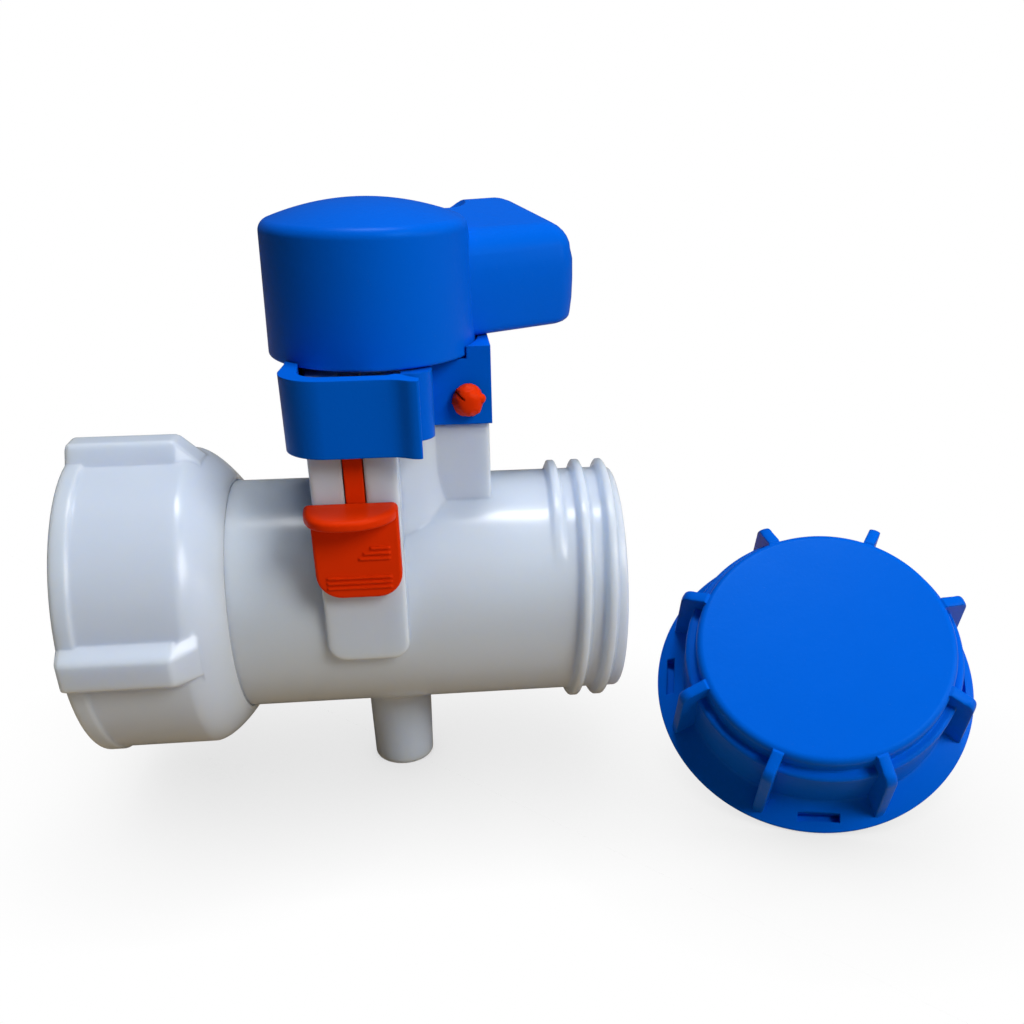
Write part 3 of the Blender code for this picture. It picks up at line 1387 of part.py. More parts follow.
def cap_shell():
    """The cap's turned form: disc, ledge, barrel and flared flange, hollow inside."""
    inner = CAP_BARREL_RADIUS - CAP_BARREL_WALL
    disc_centre = (CAP_DISC_RADIUS - CAP_ROUNDING, CAP_HEIGHT - CAP_ROUNDING)
    ledge_centre = (CAP_BARREL_RADIUS - CAP_ROUNDING, CAP_LEDGE_HEIGHT - CAP_ROUNDING)
    under = CAP_FLANGE_RISE - CAP_FLANGE_SKIN
    profile = [
        (inner, 0),
        (CAP_BARREL_RADIUS, 0),
        (CAP_BARREL_RADIUS, under),
        (CAP_FLANGE_RADIUS - CAP_FLANGE_SKIN, CAP_FLANGE_RIM / 3),
        (CAP_FLANGE_RADIUS - CAP_FLANGE_SKIN / 2, 0),
        (CAP_FLANGE_RADIUS, 0),
        (CAP_FLANGE_RADIUS, CAP_FLANGE_RIM),
        (CAP_FLANGE_RADIUS - CAP_FLANGE_SKIN / 2, CAP_FLANGE_RIM + CAP_FLANGE_SKIN / 4),
        (CAP_BARREL_RADIUS + CAP_ROUNDING, CAP_FLANGE_RISE),
        (CAP_BARREL_RADIUS, CAP_FLANGE_RISE + CAP_ROUNDING),
    ]
    profile += arc(ledge_centre, CAP_ROUNDING, 0, 90, 2)
    profile.append((CAP_DISC_RADIUS, CAP_LEDGE_HEIGHT))
    profile += arc(disc_centre, CAP_ROUNDING, 0, 90, 2)
    profile += [
        (0, CAP_HEIGHT),
        (0, CAP_HEIGHT - CAP_DISC_WALL),
        (CAP_SEAT_RADIUS, CAP_HEIGHT - CAP_DISC_WALL),
        (CAP_SEAT_RADIUS, CAP_SEAT_HEIGHT),
        (inner, CAP_SEAT_HEIGHT),
    ]
    return turned("cap", profile, FINE_STEPS)


def cap_lug(index):
    """A thin upright fin from the disc's edge to the flange, with a round outer corner."""
    top = CAP_HEIGHT - CAP_ROUNDING / 2
    root = CAP_DISC_RADIUS - OVERLAP
    foot = CAP_FLANGE_RIM
    corner_centre = (CAP_LUG_TOP_REACH - CAP_LUG_CORNER, top - CAP_LUG_DROP - CAP_LUG_CORNER)
    outline = [(root, top - CAP_ROUNDING / 2), (root, foot + CAP_FLANGE_RISE / 2)]
    outline.append((CAP_FLANGE_RADIUS - CAP_FLANGE_SKIN * 2, foot))
    outline.append((CAP_LUG_FOOT_REACH, foot + CAP_FLANGE_SKIN / 3))
    outline += arc(corner_centre, CAP_LUG_CORNER, 0, 80, 3)
    outline.append((CAP_DISC_RADIUS, top))
    half = CAP_LUG_THICKNESS / 2
    edge = half / 2
    middle_radius = sum(point[0] for point in outline) / len(outline)
    middle_height = sum(point[1] for point in outline) / len(outline)
    rings = []
    for side, shrink in ((-half, edge), (-edge, 0), (edge, 0), (half, edge)):
        section = []
        for radius, height in outline:
            pull = shrink / (CAP_HEIGHT / 2)
            if radius <= CAP_DISC_RADIUS:
                section.append((radius, side, height))
                continue
            drawn_radius = radius + (middle_radius - radius) * pull
            drawn_height = height + (middle_height - height) * pull
            section.append((drawn_radius, side, drawn_height))
        rings.append(section)
    fin = lofted("fin", rings)
    degrees = CAP_LUG_PHASE + 360 * index / CAP_LUG_COUNT
    return move(fin, Matrix.Rotation(math.radians(degrees), 4, "Z"))


def cap_slot(index):
    """A short slot through the flange, midway between two fins."""
    half_width = CAP_SLOT_WIDTH / 2
    half_length = CAP_SLOT_LENGTH / 2
    low = (CAP_SLOT_RADIUS - half_width, -half_length, -OVERRUN)
    high = (CAP_SLOT_RADIUS + half_width, half_length, CAP_FLANGE_RISE + OVERRUN)
    degrees = CAP_LUG_PHASE + 360 / CAP_LUG_COUNT / 2 + 360 * index / CAP_SLOT_COUNT
    return move(block("cap_slot", low, high), Matrix.Rotation(math.radians(degrees), 4, "Z"))


def make_cap():
    """The dust cap, as it lies beside the valve."""
    cap = cap_shell()
    for index in range(CAP_LUG_COUNT):
        join(cap, cap_lug(index))
    for index in range(CAP_SLOT_COUNT):
        cut(cap, cap_slot(index))
    inner = CAP_BARREL_RADIUS - CAP_BARREL_WALL
    cut(cap, cylinder("cap_room", inner, -OVERRUN, CAP_SEAT_HEIGHT, FINE_STEPS))
    frame = cap_frame()
    return finish_piece("dust_cap", move(cap, frame), BLUE, frame.translation)


def make_cap_gasket():
    """The flat gasket inside the cap's disc."""
    top = CAP_HEIGHT - CAP_DISC_WALL - FIT_GAP
    outer = CAP_SEAT_RADIUS - FIT_GAP
    gasket = ring("cap_ring", CAP_GASKET_HOLE, outer, top - CAP_GASKET_THICKNESS, top)
    frame = cap_frame()
    return finish_piece("cap_gasket", move(gasket, frame), BLACK_RUBBER, frame.translation)


def main():
    clear_scene()
    make_body()
    make_stem()
    make_stem_washer()
    make_stem_ring("stem_o_ring_lower", LOWER_RING_HEIGHT)
    make_stem_ring("stem_o_ring_upper", UPPER_RING_HEIGHT)
    make_retainer()
    make_wiper()
    make_foot_bush()
    make_disc()
    make_disc_seal()
    make_nut()
    make_slip_washer()
    make_retaining_ring()
    make_inlet_gasket()
    make_handle()
    make_lock_slider()
    make_clip()
    make_pin()
    make_cap()
    make_cap_gasket()


main()
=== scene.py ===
"""The tank valve as it is shown: fine mouldings with threads, materials, floor, lights and camera.

X runs along the pipe and Z up the stem, in metres and degrees.
"""

from math import cos, pi, radians, sin, sqrt

import bmesh
import bpy
from mathutils import Matrix, Vector, noise


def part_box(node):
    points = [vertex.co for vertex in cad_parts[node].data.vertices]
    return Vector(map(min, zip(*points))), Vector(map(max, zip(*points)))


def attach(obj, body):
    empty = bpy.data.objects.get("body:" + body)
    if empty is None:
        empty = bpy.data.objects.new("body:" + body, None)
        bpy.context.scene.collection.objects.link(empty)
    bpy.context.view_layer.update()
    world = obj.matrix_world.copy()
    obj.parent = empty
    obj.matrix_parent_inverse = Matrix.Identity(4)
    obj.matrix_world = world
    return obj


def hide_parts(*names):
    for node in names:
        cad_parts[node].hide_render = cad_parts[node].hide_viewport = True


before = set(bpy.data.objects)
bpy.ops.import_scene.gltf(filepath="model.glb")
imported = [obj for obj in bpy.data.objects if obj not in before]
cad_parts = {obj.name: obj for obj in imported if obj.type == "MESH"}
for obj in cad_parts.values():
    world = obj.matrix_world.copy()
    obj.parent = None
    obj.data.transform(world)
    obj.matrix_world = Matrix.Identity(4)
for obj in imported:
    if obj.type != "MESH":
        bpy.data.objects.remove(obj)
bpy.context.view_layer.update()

# Sizes of the solids
NUT_LOW, NUT_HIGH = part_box("coupling_nut")
BODY_LOW, BODY_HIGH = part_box("valve_body")
GASKET_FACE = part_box("inlet_gasket")[1].x
PIPE_HEIGHT = (NUT_LOW.z + NUT_HIGH.z) / 2
OUTLET_REACH = BODY_HIGH.x
INLET_REACH = -BODY_LOW.x
NUT_MOUTH = -NUT_LOW.x
NUT_END = -NUT_HIGH.x

FIT_GAP = 0.0003
OVERRUN = 0.004
OVERLAP = 0.0012
INNER_CREST_SHARE = 0.8

# Pipe, neck and foot
PIPE_RADIUS = 0.0277
BORE_RADIUS = 0.0249
END_ROUNDING = 0.0009
THREAD_PITCH = 0.0061
THREAD_CREST = 0.0021
THREAD_TOP_PLACE = 0.0405
THREAD_START_TURN = -60.0
THREAD_FADE_TURN = 55.0
THREAD_RIDGE = 0.00185
THREAD_FLANK = 0.00125
THREAD_STEP = 0.00026
RETAINING_DEPTH = 0.0015
RETAINING_START = 0.0502
RETAINING_END = 0.0472
NECK_RADIUS = 0.0163
NECK_TOP = 0.0600
NECK_FLARE = 0.0026
NECK_FLARE_TOP = 0.0345
NECK_WALL = 0.0024
TUBE_RADIUS = 0.0115
STEM_HOLE = 0.0043
STEM_BORE = 0.0093
NECK_FLOOR = 0.0310
POCKET_FLOOR = 0.0360
RIM_ROUNDING = 0.0004
FOOT_RADIUS = 0.0080
FOOT_END_RADIUS = 0.0077
FOOT_ROUNDING = 0.0011
FOOT_FLARE = 0.0022
FOOT_FLARE_POWER = 2.4

# Rail in front and post at the right
RAIL_CENTRE = -0.0048
RAIL_HALF_WIDTH = 0.0092
RAIL_FRONT = 0.0296
RAIL_BACK = 0.0090
RAIL_BOTTOM = -0.0048
RAIL_TOP = 0.0570
RAIL_CORNER = 0.0042
RAIL_EDGE = 0.0008
RAIL_WALL = 0.0032
RAIL_RELIEF = 0.0046
SLOT_HALF_WIDTH = 0.0023
SLOT_BOTTOM = 0.0262
CHANNEL_HALF_WIDTH = 0.0056
CHANNEL_DEPTH = 0.0036
CHANNEL_BOTTOM = 0.0275
POST_ROOT = 0.0120
POST_FAR = 0.0250
POST_HALF_DEPTH = 0.0100
POST_TOP = 0.0437
POST_ROUNDING = 0.0007
TAB_NEAR = 0.0166
TAB_FAR = 0.0240
TAB_HALF_DEPTH = 0.0030
TAB_TOP = 0.0545

# Union nut
NUT_RADIUS = 0.0360
NUT_RIM_RADIUS = 0.0366
NUT_RIM_LENGTH = 0.0045
NUT_ROUNDING = 0.0011
NUT_THREAD_RADIUS = 0.0302
NUT_SHOULDER = 0.0460
NUT_SHOULDER_START = 0.0447
NUT_LIP = 0.0008
NUT_SHOULDER_POWER = 1.6
MOUTH_CHAMFER = 0.0010
LUG_COUNT = 4
LUG_RADIUS = 0.0400
LUG_BASE_HALF_WIDTH = 0.0068
LUG_TOP_HALF_WIDTH = 0.0034
LUG_END = 0.0463
LUG_SLOPE = 0.0052
LUG_ROUNDING = 0.0010
LUG_START_SHARE = 0.3
LUG_END_SHARE = 0.4
# The lug's rounded crown: out from the edge of its top, and down
LUG_CROWN_SHARES = ((0.45, 1.1), (0, 0.5), (-0.4, 0.14), (-1, 0))

# Handle
LEVER_ANGLE = 29.0
KNOB_RADIUS = 0.0229
KNOB_SHOULDER_RADIUS = 0.0221
KNOB_BOTTOM = 0.0587
KNOB_SHOULDER = 0.0850
KNOB_ROUNDING = 0.0026
KNOB_ROUNDING_TURN = 70.0
KNOB_DOME = 0.0898
KNOB_WALL = 0.0021
KNOB_RIM_ROUNDING = 0.0006
KNOB_ROOF = 0.0803
SOCKET_RADIUS = 0.0086
SOCKET_BOTTOM = 0.0645
SOCKET_HALF = 0.0058
STEM_TOP = 0.0778
LEVER_REACH = 0.0470
LEVER_HALF_WIDTH = 0.0145
LEVER_BOTTOM = 0.0613
LEVER_TOP = 0.0822
LEVER_SLOPE = 0.0056
LEVER_BACK = LEVER_TOP + LEVER_SLOPE
LEVER_CORNER = 0.0062
LEVER_TOP_ROUNDING = 0.0052
LEVER_BOTTOM_ROUNDING = 0.0020
LEVER_BULGE = 0.0006
LEVER_BULGE_SHARES = (0.25, 0.45, 0.65)
LEVER_END_SHARE = 1.7
LEVER_TOP_END_SHARE = 1.35
LEVER_ROOF = 0.0030
LEVER_ROOT = 0.0100
LEVER_WALL = 0.0024
LEVER_CORE_NEAR = 0.0250
LEVER_RIB = 0.0018
LEVER_RIB_COUNT = 2
NOTCH_RIB = 0.0020
NOTCH_RIB_INNER = 0.0174
NOTCH_RIB_BOTTOM = 0.0612
NOTCH_HALF_ANGLE = 12.0
NOTCH_DIRECTION = 254.64
SCOOP_RADIUS = 0.0090
SCOOP_ALONG = 0.0240
SCOOP_ACROSS = 0.0115
SCOOP_BOTTOM = 0.0830

# Locking slide
SHIELD_THICKNESS = 0.0024
SHIELD_BOTTOM = 0.0122
SHIELD_TOP = 0.0320
SHIELD_HALF_WIDTH = 0.0093
SHIELD_SHIFT = -0.0005
SHIELD_CORNER = 0.0054
SHIELD_EDGE = 0.0007
LEDGE_TOP = 0.0331
LEDGE_THICKNESS = 0.0034
LEDGE_DROP_SHARE = 0.32
LEDGE_REACH = 0.0086
LEDGE_LEFT = 0.0089
LEDGE_RIGHT = 0.0110
LEDGE_SHIFT = -0.0022
LEDGE_EDGE = 0.0012
LEDGE_LEFT_SHARE = 2.6
LEDGE_RIGHT_SHARE = 2.0
BLADE_HALF_WIDTH = 0.0020
BLADE_TOP = 0.0507
BLADE_BOTTOM = 0.0268
TONGUE_TOP = 0.0568
TONGUE_BOTTOM = 0.0477
TONGUE_INNER = 0.01667
TONGUE_MIDDLE = 0.01747
TONGUE_OUTER = 0.01828
RUNNER_HALF_WIDTH = 0.0052
RUNNER_THICKNESS = 0.0028
RUNNER_BOTTOM = 0.0282
RUNNER_TOP = 0.0460
SLIDE_BACK = -RAIL_FRONT - FIT_GAP
SLIDE_FRONT = SLIDE_BACK - SHIELD_THICKNESS
GRIP_RIB_PITCH = 0.0012
GRIP_RIB_HEIGHT = 0.00045
GRIP_RIB_WIDTH = 0.0007
GRIP_RIB_BASE = 0.0147
GRIP_RIB_END = 0.0018
GRIP_RIB_END_SHARE = 0.2
GRIP_RIB_STARTS = (-0.0124, -0.0124, -0.0124)
SHORT_RIB_BASE = 0.0214
SHORT_RIB_STARTS = (-0.0052, -0.0041, -0.0026)

# Clip and its pin
CLIP_BOTTOM = 0.0440
CLIP_TOP = 0.0597
BLOCK_TOP = 0.0610
CLIP_WALL = 0.0038
CLIP_FRONT_GAP = 0.0004
CLIP_NECK_GAP = 0.0003
CLIP_RING_GAP = 0.0006
CLIP_KNOB_GAP = 0.0004
CLIP_SIDE = 0.0184
CLIP_LEAN = 0.0006
CLIP_LEAN_PLACE = 0.0181
RING_WALL = 0.0018
CLIP_CORNER = 0.0090
CLIP_ROOT_TURN = 24.0
# The lip along X: how far the arm's front and back stand out there
LIP_BEND = (
    (-0.0040, 0, 0), (0.0010, -0.0001, 0), (0.0036, 0, 0.0001),
    (0.0046, 0.0001, 0.0008), (0.0055, 0.0003, 0.0011), (0.0062, 0.0006, 0.0008),
    (0.0069, 0.0010, 0.0001), (0.0076, 0.0014, -0.0008), (0.0083, 0.0017, -0.0016),
    (0.0090, 0.0018, -0.0022), (0.0096, 0.0018, -0.0026), (0.0100, 0.0015, -0.0028),
)
BLOCK_NEAR = 0.0125
BLOCK_FAR = 0.0256
BLOCK_HALF_DEPTH = 0.0115
CATCH_WALL = 0.0030
CATCH_SIDE = 0.0127
CATCH_ROOT = 0.0090
CATCH_CORNER = 0.0046
CATCH_FRONT = 0.0234
CATCH_END = 0.0062
CLIP_EDGE = 0.0006
PIN_PLACE = 0.0204
PIN_HEIGHT = 0.0495
PIN_RADIUS = 0.0028
PIN_HEAD_RADIUS = 0.0038
PIN_HEAD = 0.0016
PIN_BARB_RADIUS = 0.0035
PIN_BARB = 0.0036
PIN_BARB_POWER = 0.7
PIN_LUMP = 0.0006
PIN_LUMP_START_SHARE = 0.12
# How fine the lumps are round the tip and along it, and how high
PIN_LUMP_SHARES = ((1.5, 2.2, 1.0), (4.0, 5.0, 0.5))
PIN_NUB_RADIUS = 0.0011
PIN_NUB_PLACE = (0.0027, 0.0016, 0.0006)
PIN_SLIT = 0.0004
PIN_SLIT_REACH = 0.0012
PIN_SLIT_SHARE = 0.8
PIN_SLIT_TURN = 38.0
PIN_SPOT = Matrix.Translation((PIN_PLACE, 0, PIN_HEIGHT))

# Dust cap
CAP_PLACE = (0.1059, -0.0175)
CAP_TILT = 36.1
CAP_TILT_DIRECTION = 254.5
CAP_LUG_PHASE = 13.0
CAP_HEIGHT = 0.0247
CAP_FLANGE_RADIUS = 0.0395
CAP_FLANGE_RIM = 0.0013
CAP_RIM_STEP_SHARE = 0.75
CAP_FLANGE_RISE = 0.0048
CAP_FLANGE_SKIN = 0.0016
CAP_BARREL_RADIUS = 0.0328
CAP_BARREL_WALL = 0.0022
CAP_LEDGE_HEIGHT = 0.0198
CAP_DISC_RADIUS = 0.03035
CAP_ROUNDING = 0.0010
# The fillet between flange and barrel: out and up
CAP_FILLET_SHARES = ((2, -0.5), (0.6, 0.3), (0, 1.4))
CAP_DISC_ROUNDING = 0.0018
CAP_DISC_WALL = 0.0026
CAP_SEAT_HEIGHT = 0.0178
CAP_SEAT_RADIUS = 0.0283
CAP_LUG_COUNT = 8
CAP_LUG_THICKNESS = 0.0027
CAP_LUG_TOP_REACH = 0.0366
CAP_LUG_FOOT_REACH = 0.0380
CAP_LUG_DROP = 0.0012
CAP_LUG_CORNER = 0.0034
CAP_SLOT_COUNT = 4
CAP_SLOT_RADIUS = 0.0362
CAP_SLOT_LENGTH = 0.0100
CAP_SLOT_WIDTH = 0.0019
CAP_POCKET_WALL = 0.0007
CAP_POCKET_TOP = 0.0014
SERRATION_COUNT = 120
SERRATION_DEPTH = 0.00022
SERRATION_TOP_SHARE = 0.6

# Floor
FLOOR_REACH = 12.0
FLOOR_THICKNESS = 0.02

# Fineness of the meshes
FINE_STEPS = 144
ROUND_STEPS = 96
SMALL_STEPS = 48
CORNER_STEPS = 8
SMOOTH_ANGLE = 34.0

# Linear colours
NATURAL = (0.620, 0.700, 0.830)
BLUE = (0.0, 0.118, 0.710)
BLUE_SHEEN = (0.05, 0.40, 1.0)
ORANGE = (0.780, 0.034, 0.001)
ORANGE_SHEEN = (1.0, 0.45, 0.25)
CLEAR = (1.0, 1.0, 1.0)
WHITE = (0.74, 0.75, 0.74)
RUBBER = (0.018, 0.018, 0.020)
DUSTY_RUBBER = (0.045, 0.045, 0.048)
SPECKS = (0.55, 0.66, 0.86)
FLOOR_COLOUR = (0.50, 0.39, 0.26)
SKY_COLOUR = (0.90, 0.95, 1.0)

# Textures of the surfaces: how fine and how deep
CLOUD_SCALE = 38.0
WAVE_SCALE = 95.0
WAVE_DEPTH = 0.0006
RUB_SCALE = 120.0
SPECK_SCALE = 2300.0
SPECK_RANGE = (0.66, 0.78)
GRAIN_DEPTH = 0.00012
RUBBER_SCALE = 260.0
PIT_DEPTH = 0.0001
PLASTIC_IOR = 1.5
GLOW_SCALE = 0.005
GLOW_RADII = (0.9, 1.0, 1.15)

# Painted shade on the floor: its reach, and how dark it is painted beside the object and under it
PAINTED_SHADE_REACH = 0.05
PAINTED_SHADE_BESIDE_DARK = 0.66
PAINTED_SHADE_UNDER_RANGE = 0.16
PAINTED_SHADE_UNDER_DARK = 0.02

# Lamps: place, size and power
LAMP_TARGET = (0.03, 0, 0.05)
LAMPS = {
    "overhead": ((0.05, 0.06, 0.98), (0.40, 0.16), 5.1),
    "right front": ((0.56, -0.58, 0.70), (0.40, 0.40), 6.0),
    "right": ((0.95, -0.25, 0.40), (0.40, 0.40), 1.5),
}
SKY_STRENGTH = 0.06

# Camera: place, turn and lens
CAMERA_PLACE = (0.01196, -0.24288, 0.15901)
CAMERA_TURN = (61.009, 0.271, -5.997)
CAMERA_LENS = 36.854
CAMERA_SHIFT = (-0.0258, 0.15)
CAMERA_SENSOR = 36.0
CAMERA_RANGE = (0.01, 50.0)


# Meshes

def new_object(name, builder):
    """An object from a bmesh, with its faces turned outward."""
    bmesh.ops.recalc_face_normals(builder, faces=builder.faces)
    mesh = bpy.data.meshes.new(name)
    builder.to_mesh(mesh)
    builder.free()
    piece = bpy.data.objects.new(name, mesh)
    bpy.context.scene.collection.objects.link(piece)
    return piece


def bake(piece):
    """Replaces the mesh of a piece by what its modifiers make of it."""
    graph = bpy.context.evaluated_depsgraph_get()
    mesh = bpy.data.meshes.new_from_object(piece.evaluated_get(graph))
    piece.modifiers.clear()
    piece.data = mesh


def combine(target, tool, operation):
    """Cuts or joins target with tool, and removes tool."""
    step = target.modifiers.new(operation.lower(), "BOOLEAN")
    step.operation = operation
    step.solver = "EXACT"
    step.object = tool
    bake(target)
    bpy.data.objects.remove(tool)


def cut(target, *tools):
    """Cuts each tool from target."""
    for tool in tools:
        combine(target, tool, "DIFFERENCE")


def join(target, *tools):
    """Joins each tool to target in one solid."""
    for tool in tools:
        combine(target, tool, "UNION")


def gather(pieces):
    """One object from several that don't touch."""
    builder = bmesh.new()
    for piece in pieces:
        builder.from_mesh(piece.data)
        bpy.data.objects.remove(piece)
    return new_object("gathered", builder)


def move(piece, matrix):
    """Moves the mesh of a piece by a matrix."""
    piece.data.transform(matrix)
    return piece


def shift(piece, x, y, z):
    """Moves a piece along the axes."""
    return move(piece, Matrix.Translation((x, y, z)))


def lifted(piece):
    """Lifts a piece from the pipe's axis to its height over the foot."""
    return shift(piece, 0, 0, PIPE_HEIGHT)


def spin(piece, degrees, axis="Z"):
    """Turns a piece round an axis."""
    return move(piece, Matrix.Rotation(radians(degrees), 4, axis))


def polar(radius, degrees):
    """A point at a radius and an angle in a plane."""
    angle = radians(degrees)
    return (radius * cos(angle), radius * sin(angle))


def arc(centre, radius, start, end, steps=CORNER_STEPS):
    """Points on an arc in a plane, with both ends."""
    points = []
    for step in range(steps + 1):
        across, up = polar(radius, start + (end - start) * step / steps)
        points.append((centre[0] + across, centre[1] + up))
    return points


def corner_arc(x, y, radius, start, steps=CORNER_STEPS):
    """The rounding of a corner at (x, y), from the angle start."""
    across = x - radius if start in (0, 270) else x + radius
    up = y - radius if start in (0, 90) else y + radius
    return arc((across, up), radius, start, start + 90, steps)


def shares(count):
    """Shares from 0 to 1 in equal steps."""
    return [step / count for step in range(count + 1)]


def quarter(steps):
    """A quarter round in steps: the share it still has to rise, and the share it has drawn in."""
    turns = [radians(90 * step / steps) for step in range(steps + 1)]
    return [(1 - sin(turn), 1 - cos(turn)) for turn in turns]


def turned(name, profile, steps, wave=None):
    """A solid turned round Z from a closed profile of (radius, height) points.

    A point with a third value takes that share of wave(height, degrees) on its radius.
    """
    builder = bmesh.new()
    rings = []
    for point in profile:
        radius, height = point[:2]
        share = point[2] if len(point) > 2 else 0
        if radius <= 0:
            rings.append([builder.verts.new((0, 0, height))])
            continue
        ring = []
        for step in range(steps):
            degrees = 360 * step / steps
            reach = radius + (share * wave(height, degrees) if share else 0)
            x, y = polar(reach, degrees)
            ring.append(builder.verts.new((x, y, height)))
        rings.append(ring)
    for near, far in zip(rings, rings[1:] + rings[:1]):
        for step in range(steps):
            after = (step + 1) % steps
            if len(near) == 1 and len(far) == 1:
                break
            if len(near) == 1:
                builder.faces.new((near[0], far[step], far[after]))
            elif len(far) == 1:
                builder.faces.new((near[step], far[0], near[after]))
            else:
                builder.faces.new((near[step], far[step], far[after], near[after]))
    return new_object(name, builder)


def lofted(name, rings):
    """A solid through rings of equally many points, closed by a face at each end."""
    builder = bmesh.new()
    made = []
    for ring in rings:
        made.append([builder.verts.new(point) for point in ring])
    builder.faces.new(made[0])
    builder.faces.new(list(reversed(made[-1])))
    for near, far in zip(made, made[1:]):
        for step in range(len(near)):
            after = (step + 1) % len(near)
            builder.faces.new((near[step], near[after], far[after], far[step]))
    return new_object(name, builder)


def raised(name, outline, bottom, top):
    """A solid raised along Z from a closed outline of (x, y) points."""
    rings = [[(x, y, height) for x, y in outline] for height in (bottom, top)]
    return lofted(name, rings)


def block(name, low, high):
    """A box between two corners."""
    outline = ((low[0], low[1]), (high[0], low[1]), (high[0], high[1]), (low[0], high[1]))
    return raised(name, outline, low[2], high[2])


def cylinder(name, radius, bottom, top, steps=SMALL_STEPS):
    """A plain cylinder round Z."""
    return turned(name, ((0, bottom), (radius, bottom), (radius, top), (0, top)), steps)


def front_plate(name, left, right, bottom, top, corner, back, front, rounding):
    """An upright plate with round lower corners and a rounded edge in front."""
    depths = [(back, 0)]
    depths += [(front + rounding * rise, rounding * drawn) for rise, drawn in quarter(4)]
    rings = []
    for depth, gap in depths:
        outline = [(right - gap, top), (left + gap, top)]
        outline += arc((left + corner, bottom + corner), corner - gap, 180, 270)
        outline += arc((right - corner, bottom + corner), corner - gap, 270, 360)
        rings.append([(x, depth, z) for x, z in outline])
    return lofted(name, rings)


def bevelled(piece, width, segments=3, angle=50.0):
    """Rounds the sharp edges of a piece."""
    step = piece.modifiers.new("rounding", "BEVEL")
    step.width = width
    step.segments = segments
    step.limit_method = "ANGLE"
    step.angle_limit = radians(angle)
    bake(piece)
    return piece


ALONG_X = Matrix.Rotation(radians(90), 4, "Y")
FACING_FRONT = Matrix.Rotation(radians(90), 4, "X")


def paint(piece, finish):
    """Gives a piece its only material."""
    piece.data.materials.clear()
    piece.data.materials.append(finish)


def place(piece, name, body, node, finish):
    """Puts a finished piece in the frame, on its body and for its node."""
    piece.name = name
    piece.data.name = name
    paint(piece, finish)
    piece.data.shade_smooth()
    piece.data.set_sharp_from_angle(angle=radians(SMOOTH_ANGLE))
    step = piece.modifiers.new("weighted normals", "WEIGHTED_NORMAL")
    step.keep_sharp = True
    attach(piece, body)
    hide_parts(node)


# Materials

def feed(made, inputs):
    """Gives the sockets of a node their values or links."""
    for name, value in inputs.items():
        if isinstance(value, bpy.types.NodeSocket):
            made.id_data.links.new(value, made.inputs[name])
        else:
            made.inputs[name].default_value = value


def node(tree, kind, inputs=None, **settings):
    """A shader node with its settings and inputs."""
    made = tree.nodes.new(kind)
    for name, value in settings.items():
        setattr(made, name, value)
    feed(made, inputs or {})
    return made


def new_material(name):
    """A material with its node tree and its shader."""
    made = bpy.data.materials.new(name)
    made.use_nodes = True
    return made, made.node_tree, made.node_tree.nodes["Principled BSDF"]


def clouds(tree, scale, detail, roughness=0.5):
    """Noise in a piece's own coordinates."""
    spot = node(tree, "ShaderNodeTexCoord").outputs["Object"]
    inputs = {"Vector": spot, "Scale": scale, "Detail": detail, "Roughness": roughness}
    return node(tree, "ShaderNodeTexNoise", inputs).outputs["Fac"]


def mixed(tree, factor, first, second):
    """A colour between two others."""
    inputs = {"Factor": factor, "A": first, "B": second}
    return node(tree, "ShaderNodeMix", inputs, data_type="RGBA").outputs["Result"]


def ranged(tree, value, low, high, start=0.0, end=1.0):
    """A value whose run from start to end is laid out from low to high."""
    inputs = {"Value": value, "From Min": start, "From Max": end, "To Min": low, "To Max": high}
    return node(tree, "ShaderNodeMapRange", inputs).outputs["Result"]


def bump(tree, height, strength, distance, **below):
    """The direction of a surface that a height stirs."""
    inputs = {"Height": height, "Strength": strength, "Distance": distance, **below}
    return node(tree, "ShaderNodeBump", inputs).outputs["Normal"]


def seen_and_lit(tree, output, lit, seen):
    """Shows one shader to the camera and the other to the light."""
    path = node(tree, "ShaderNodeLightPath").outputs["Is Camera Ray"]
    blend = node(tree, "ShaderNodeMixShader", {0: path, 1: lit, 2: seen})
    feed(tree.nodes[output], {"Surface": blend.outputs[0]})


def plastic(
    name, colour, sheen, roughness, gloss, grain, grain_scale, edge,
    mottle=0.07, wear=0.08, subsurface=0.0, speckle=0.0,
):
    """A moulded plastic: uneven tint, fine skin grain, faint scratches and softened edges."""
    made, tree, shader = new_material(name)
    darker = [channel * (1 - mottle) for channel in colour]
    lighter = [min(1.0, channel * (1 + mottle / 2)) for channel in colour]
    surface = mixed(tree, clouds(tree, CLOUD_SCALE, 4.0, 0.55), (*darker, 1.0), (*lighter, 1.0))
    if speckle:
        patch = ranged(tree, clouds(tree, SPECK_SCALE, 2.0), 0.0, speckle, *SPECK_RANGE)
        surface = mixed(tree, patch, surface, (*SPECKS, 1.0))
    rubbed = clouds(tree, RUB_SCALE, 6.0, 0.65)
    rounded = node(tree, "ShaderNodeBevel", {"Radius": edge}, samples=6).outputs["Normal"]
    soft = bump(tree, clouds(tree, WAVE_SCALE, 2.0), mottle * 2, WAVE_DEPTH, Normal=rounded)
    feed(shader, {
        "Base Color": surface,
        "Roughness": ranged(tree, rubbed, roughness - wear, roughness + wear),
        "IOR": PLASTIC_IOR,
        "Specular IOR Level": gloss,
        "Specular Tint": (*sheen, 1.0),
        "Normal": bump(tree, clouds(tree, grain_scale, 3.0, 0.6), grain, GRAIN_DEPTH, Normal=soft),
    })
    if subsurface:
        feed(shader, {
            "Subsurface Weight": subsurface,
            "Subsurface Radius": GLOW_RADII,
            "Subsurface Scale": GLOW_SCALE,
        })
    return made


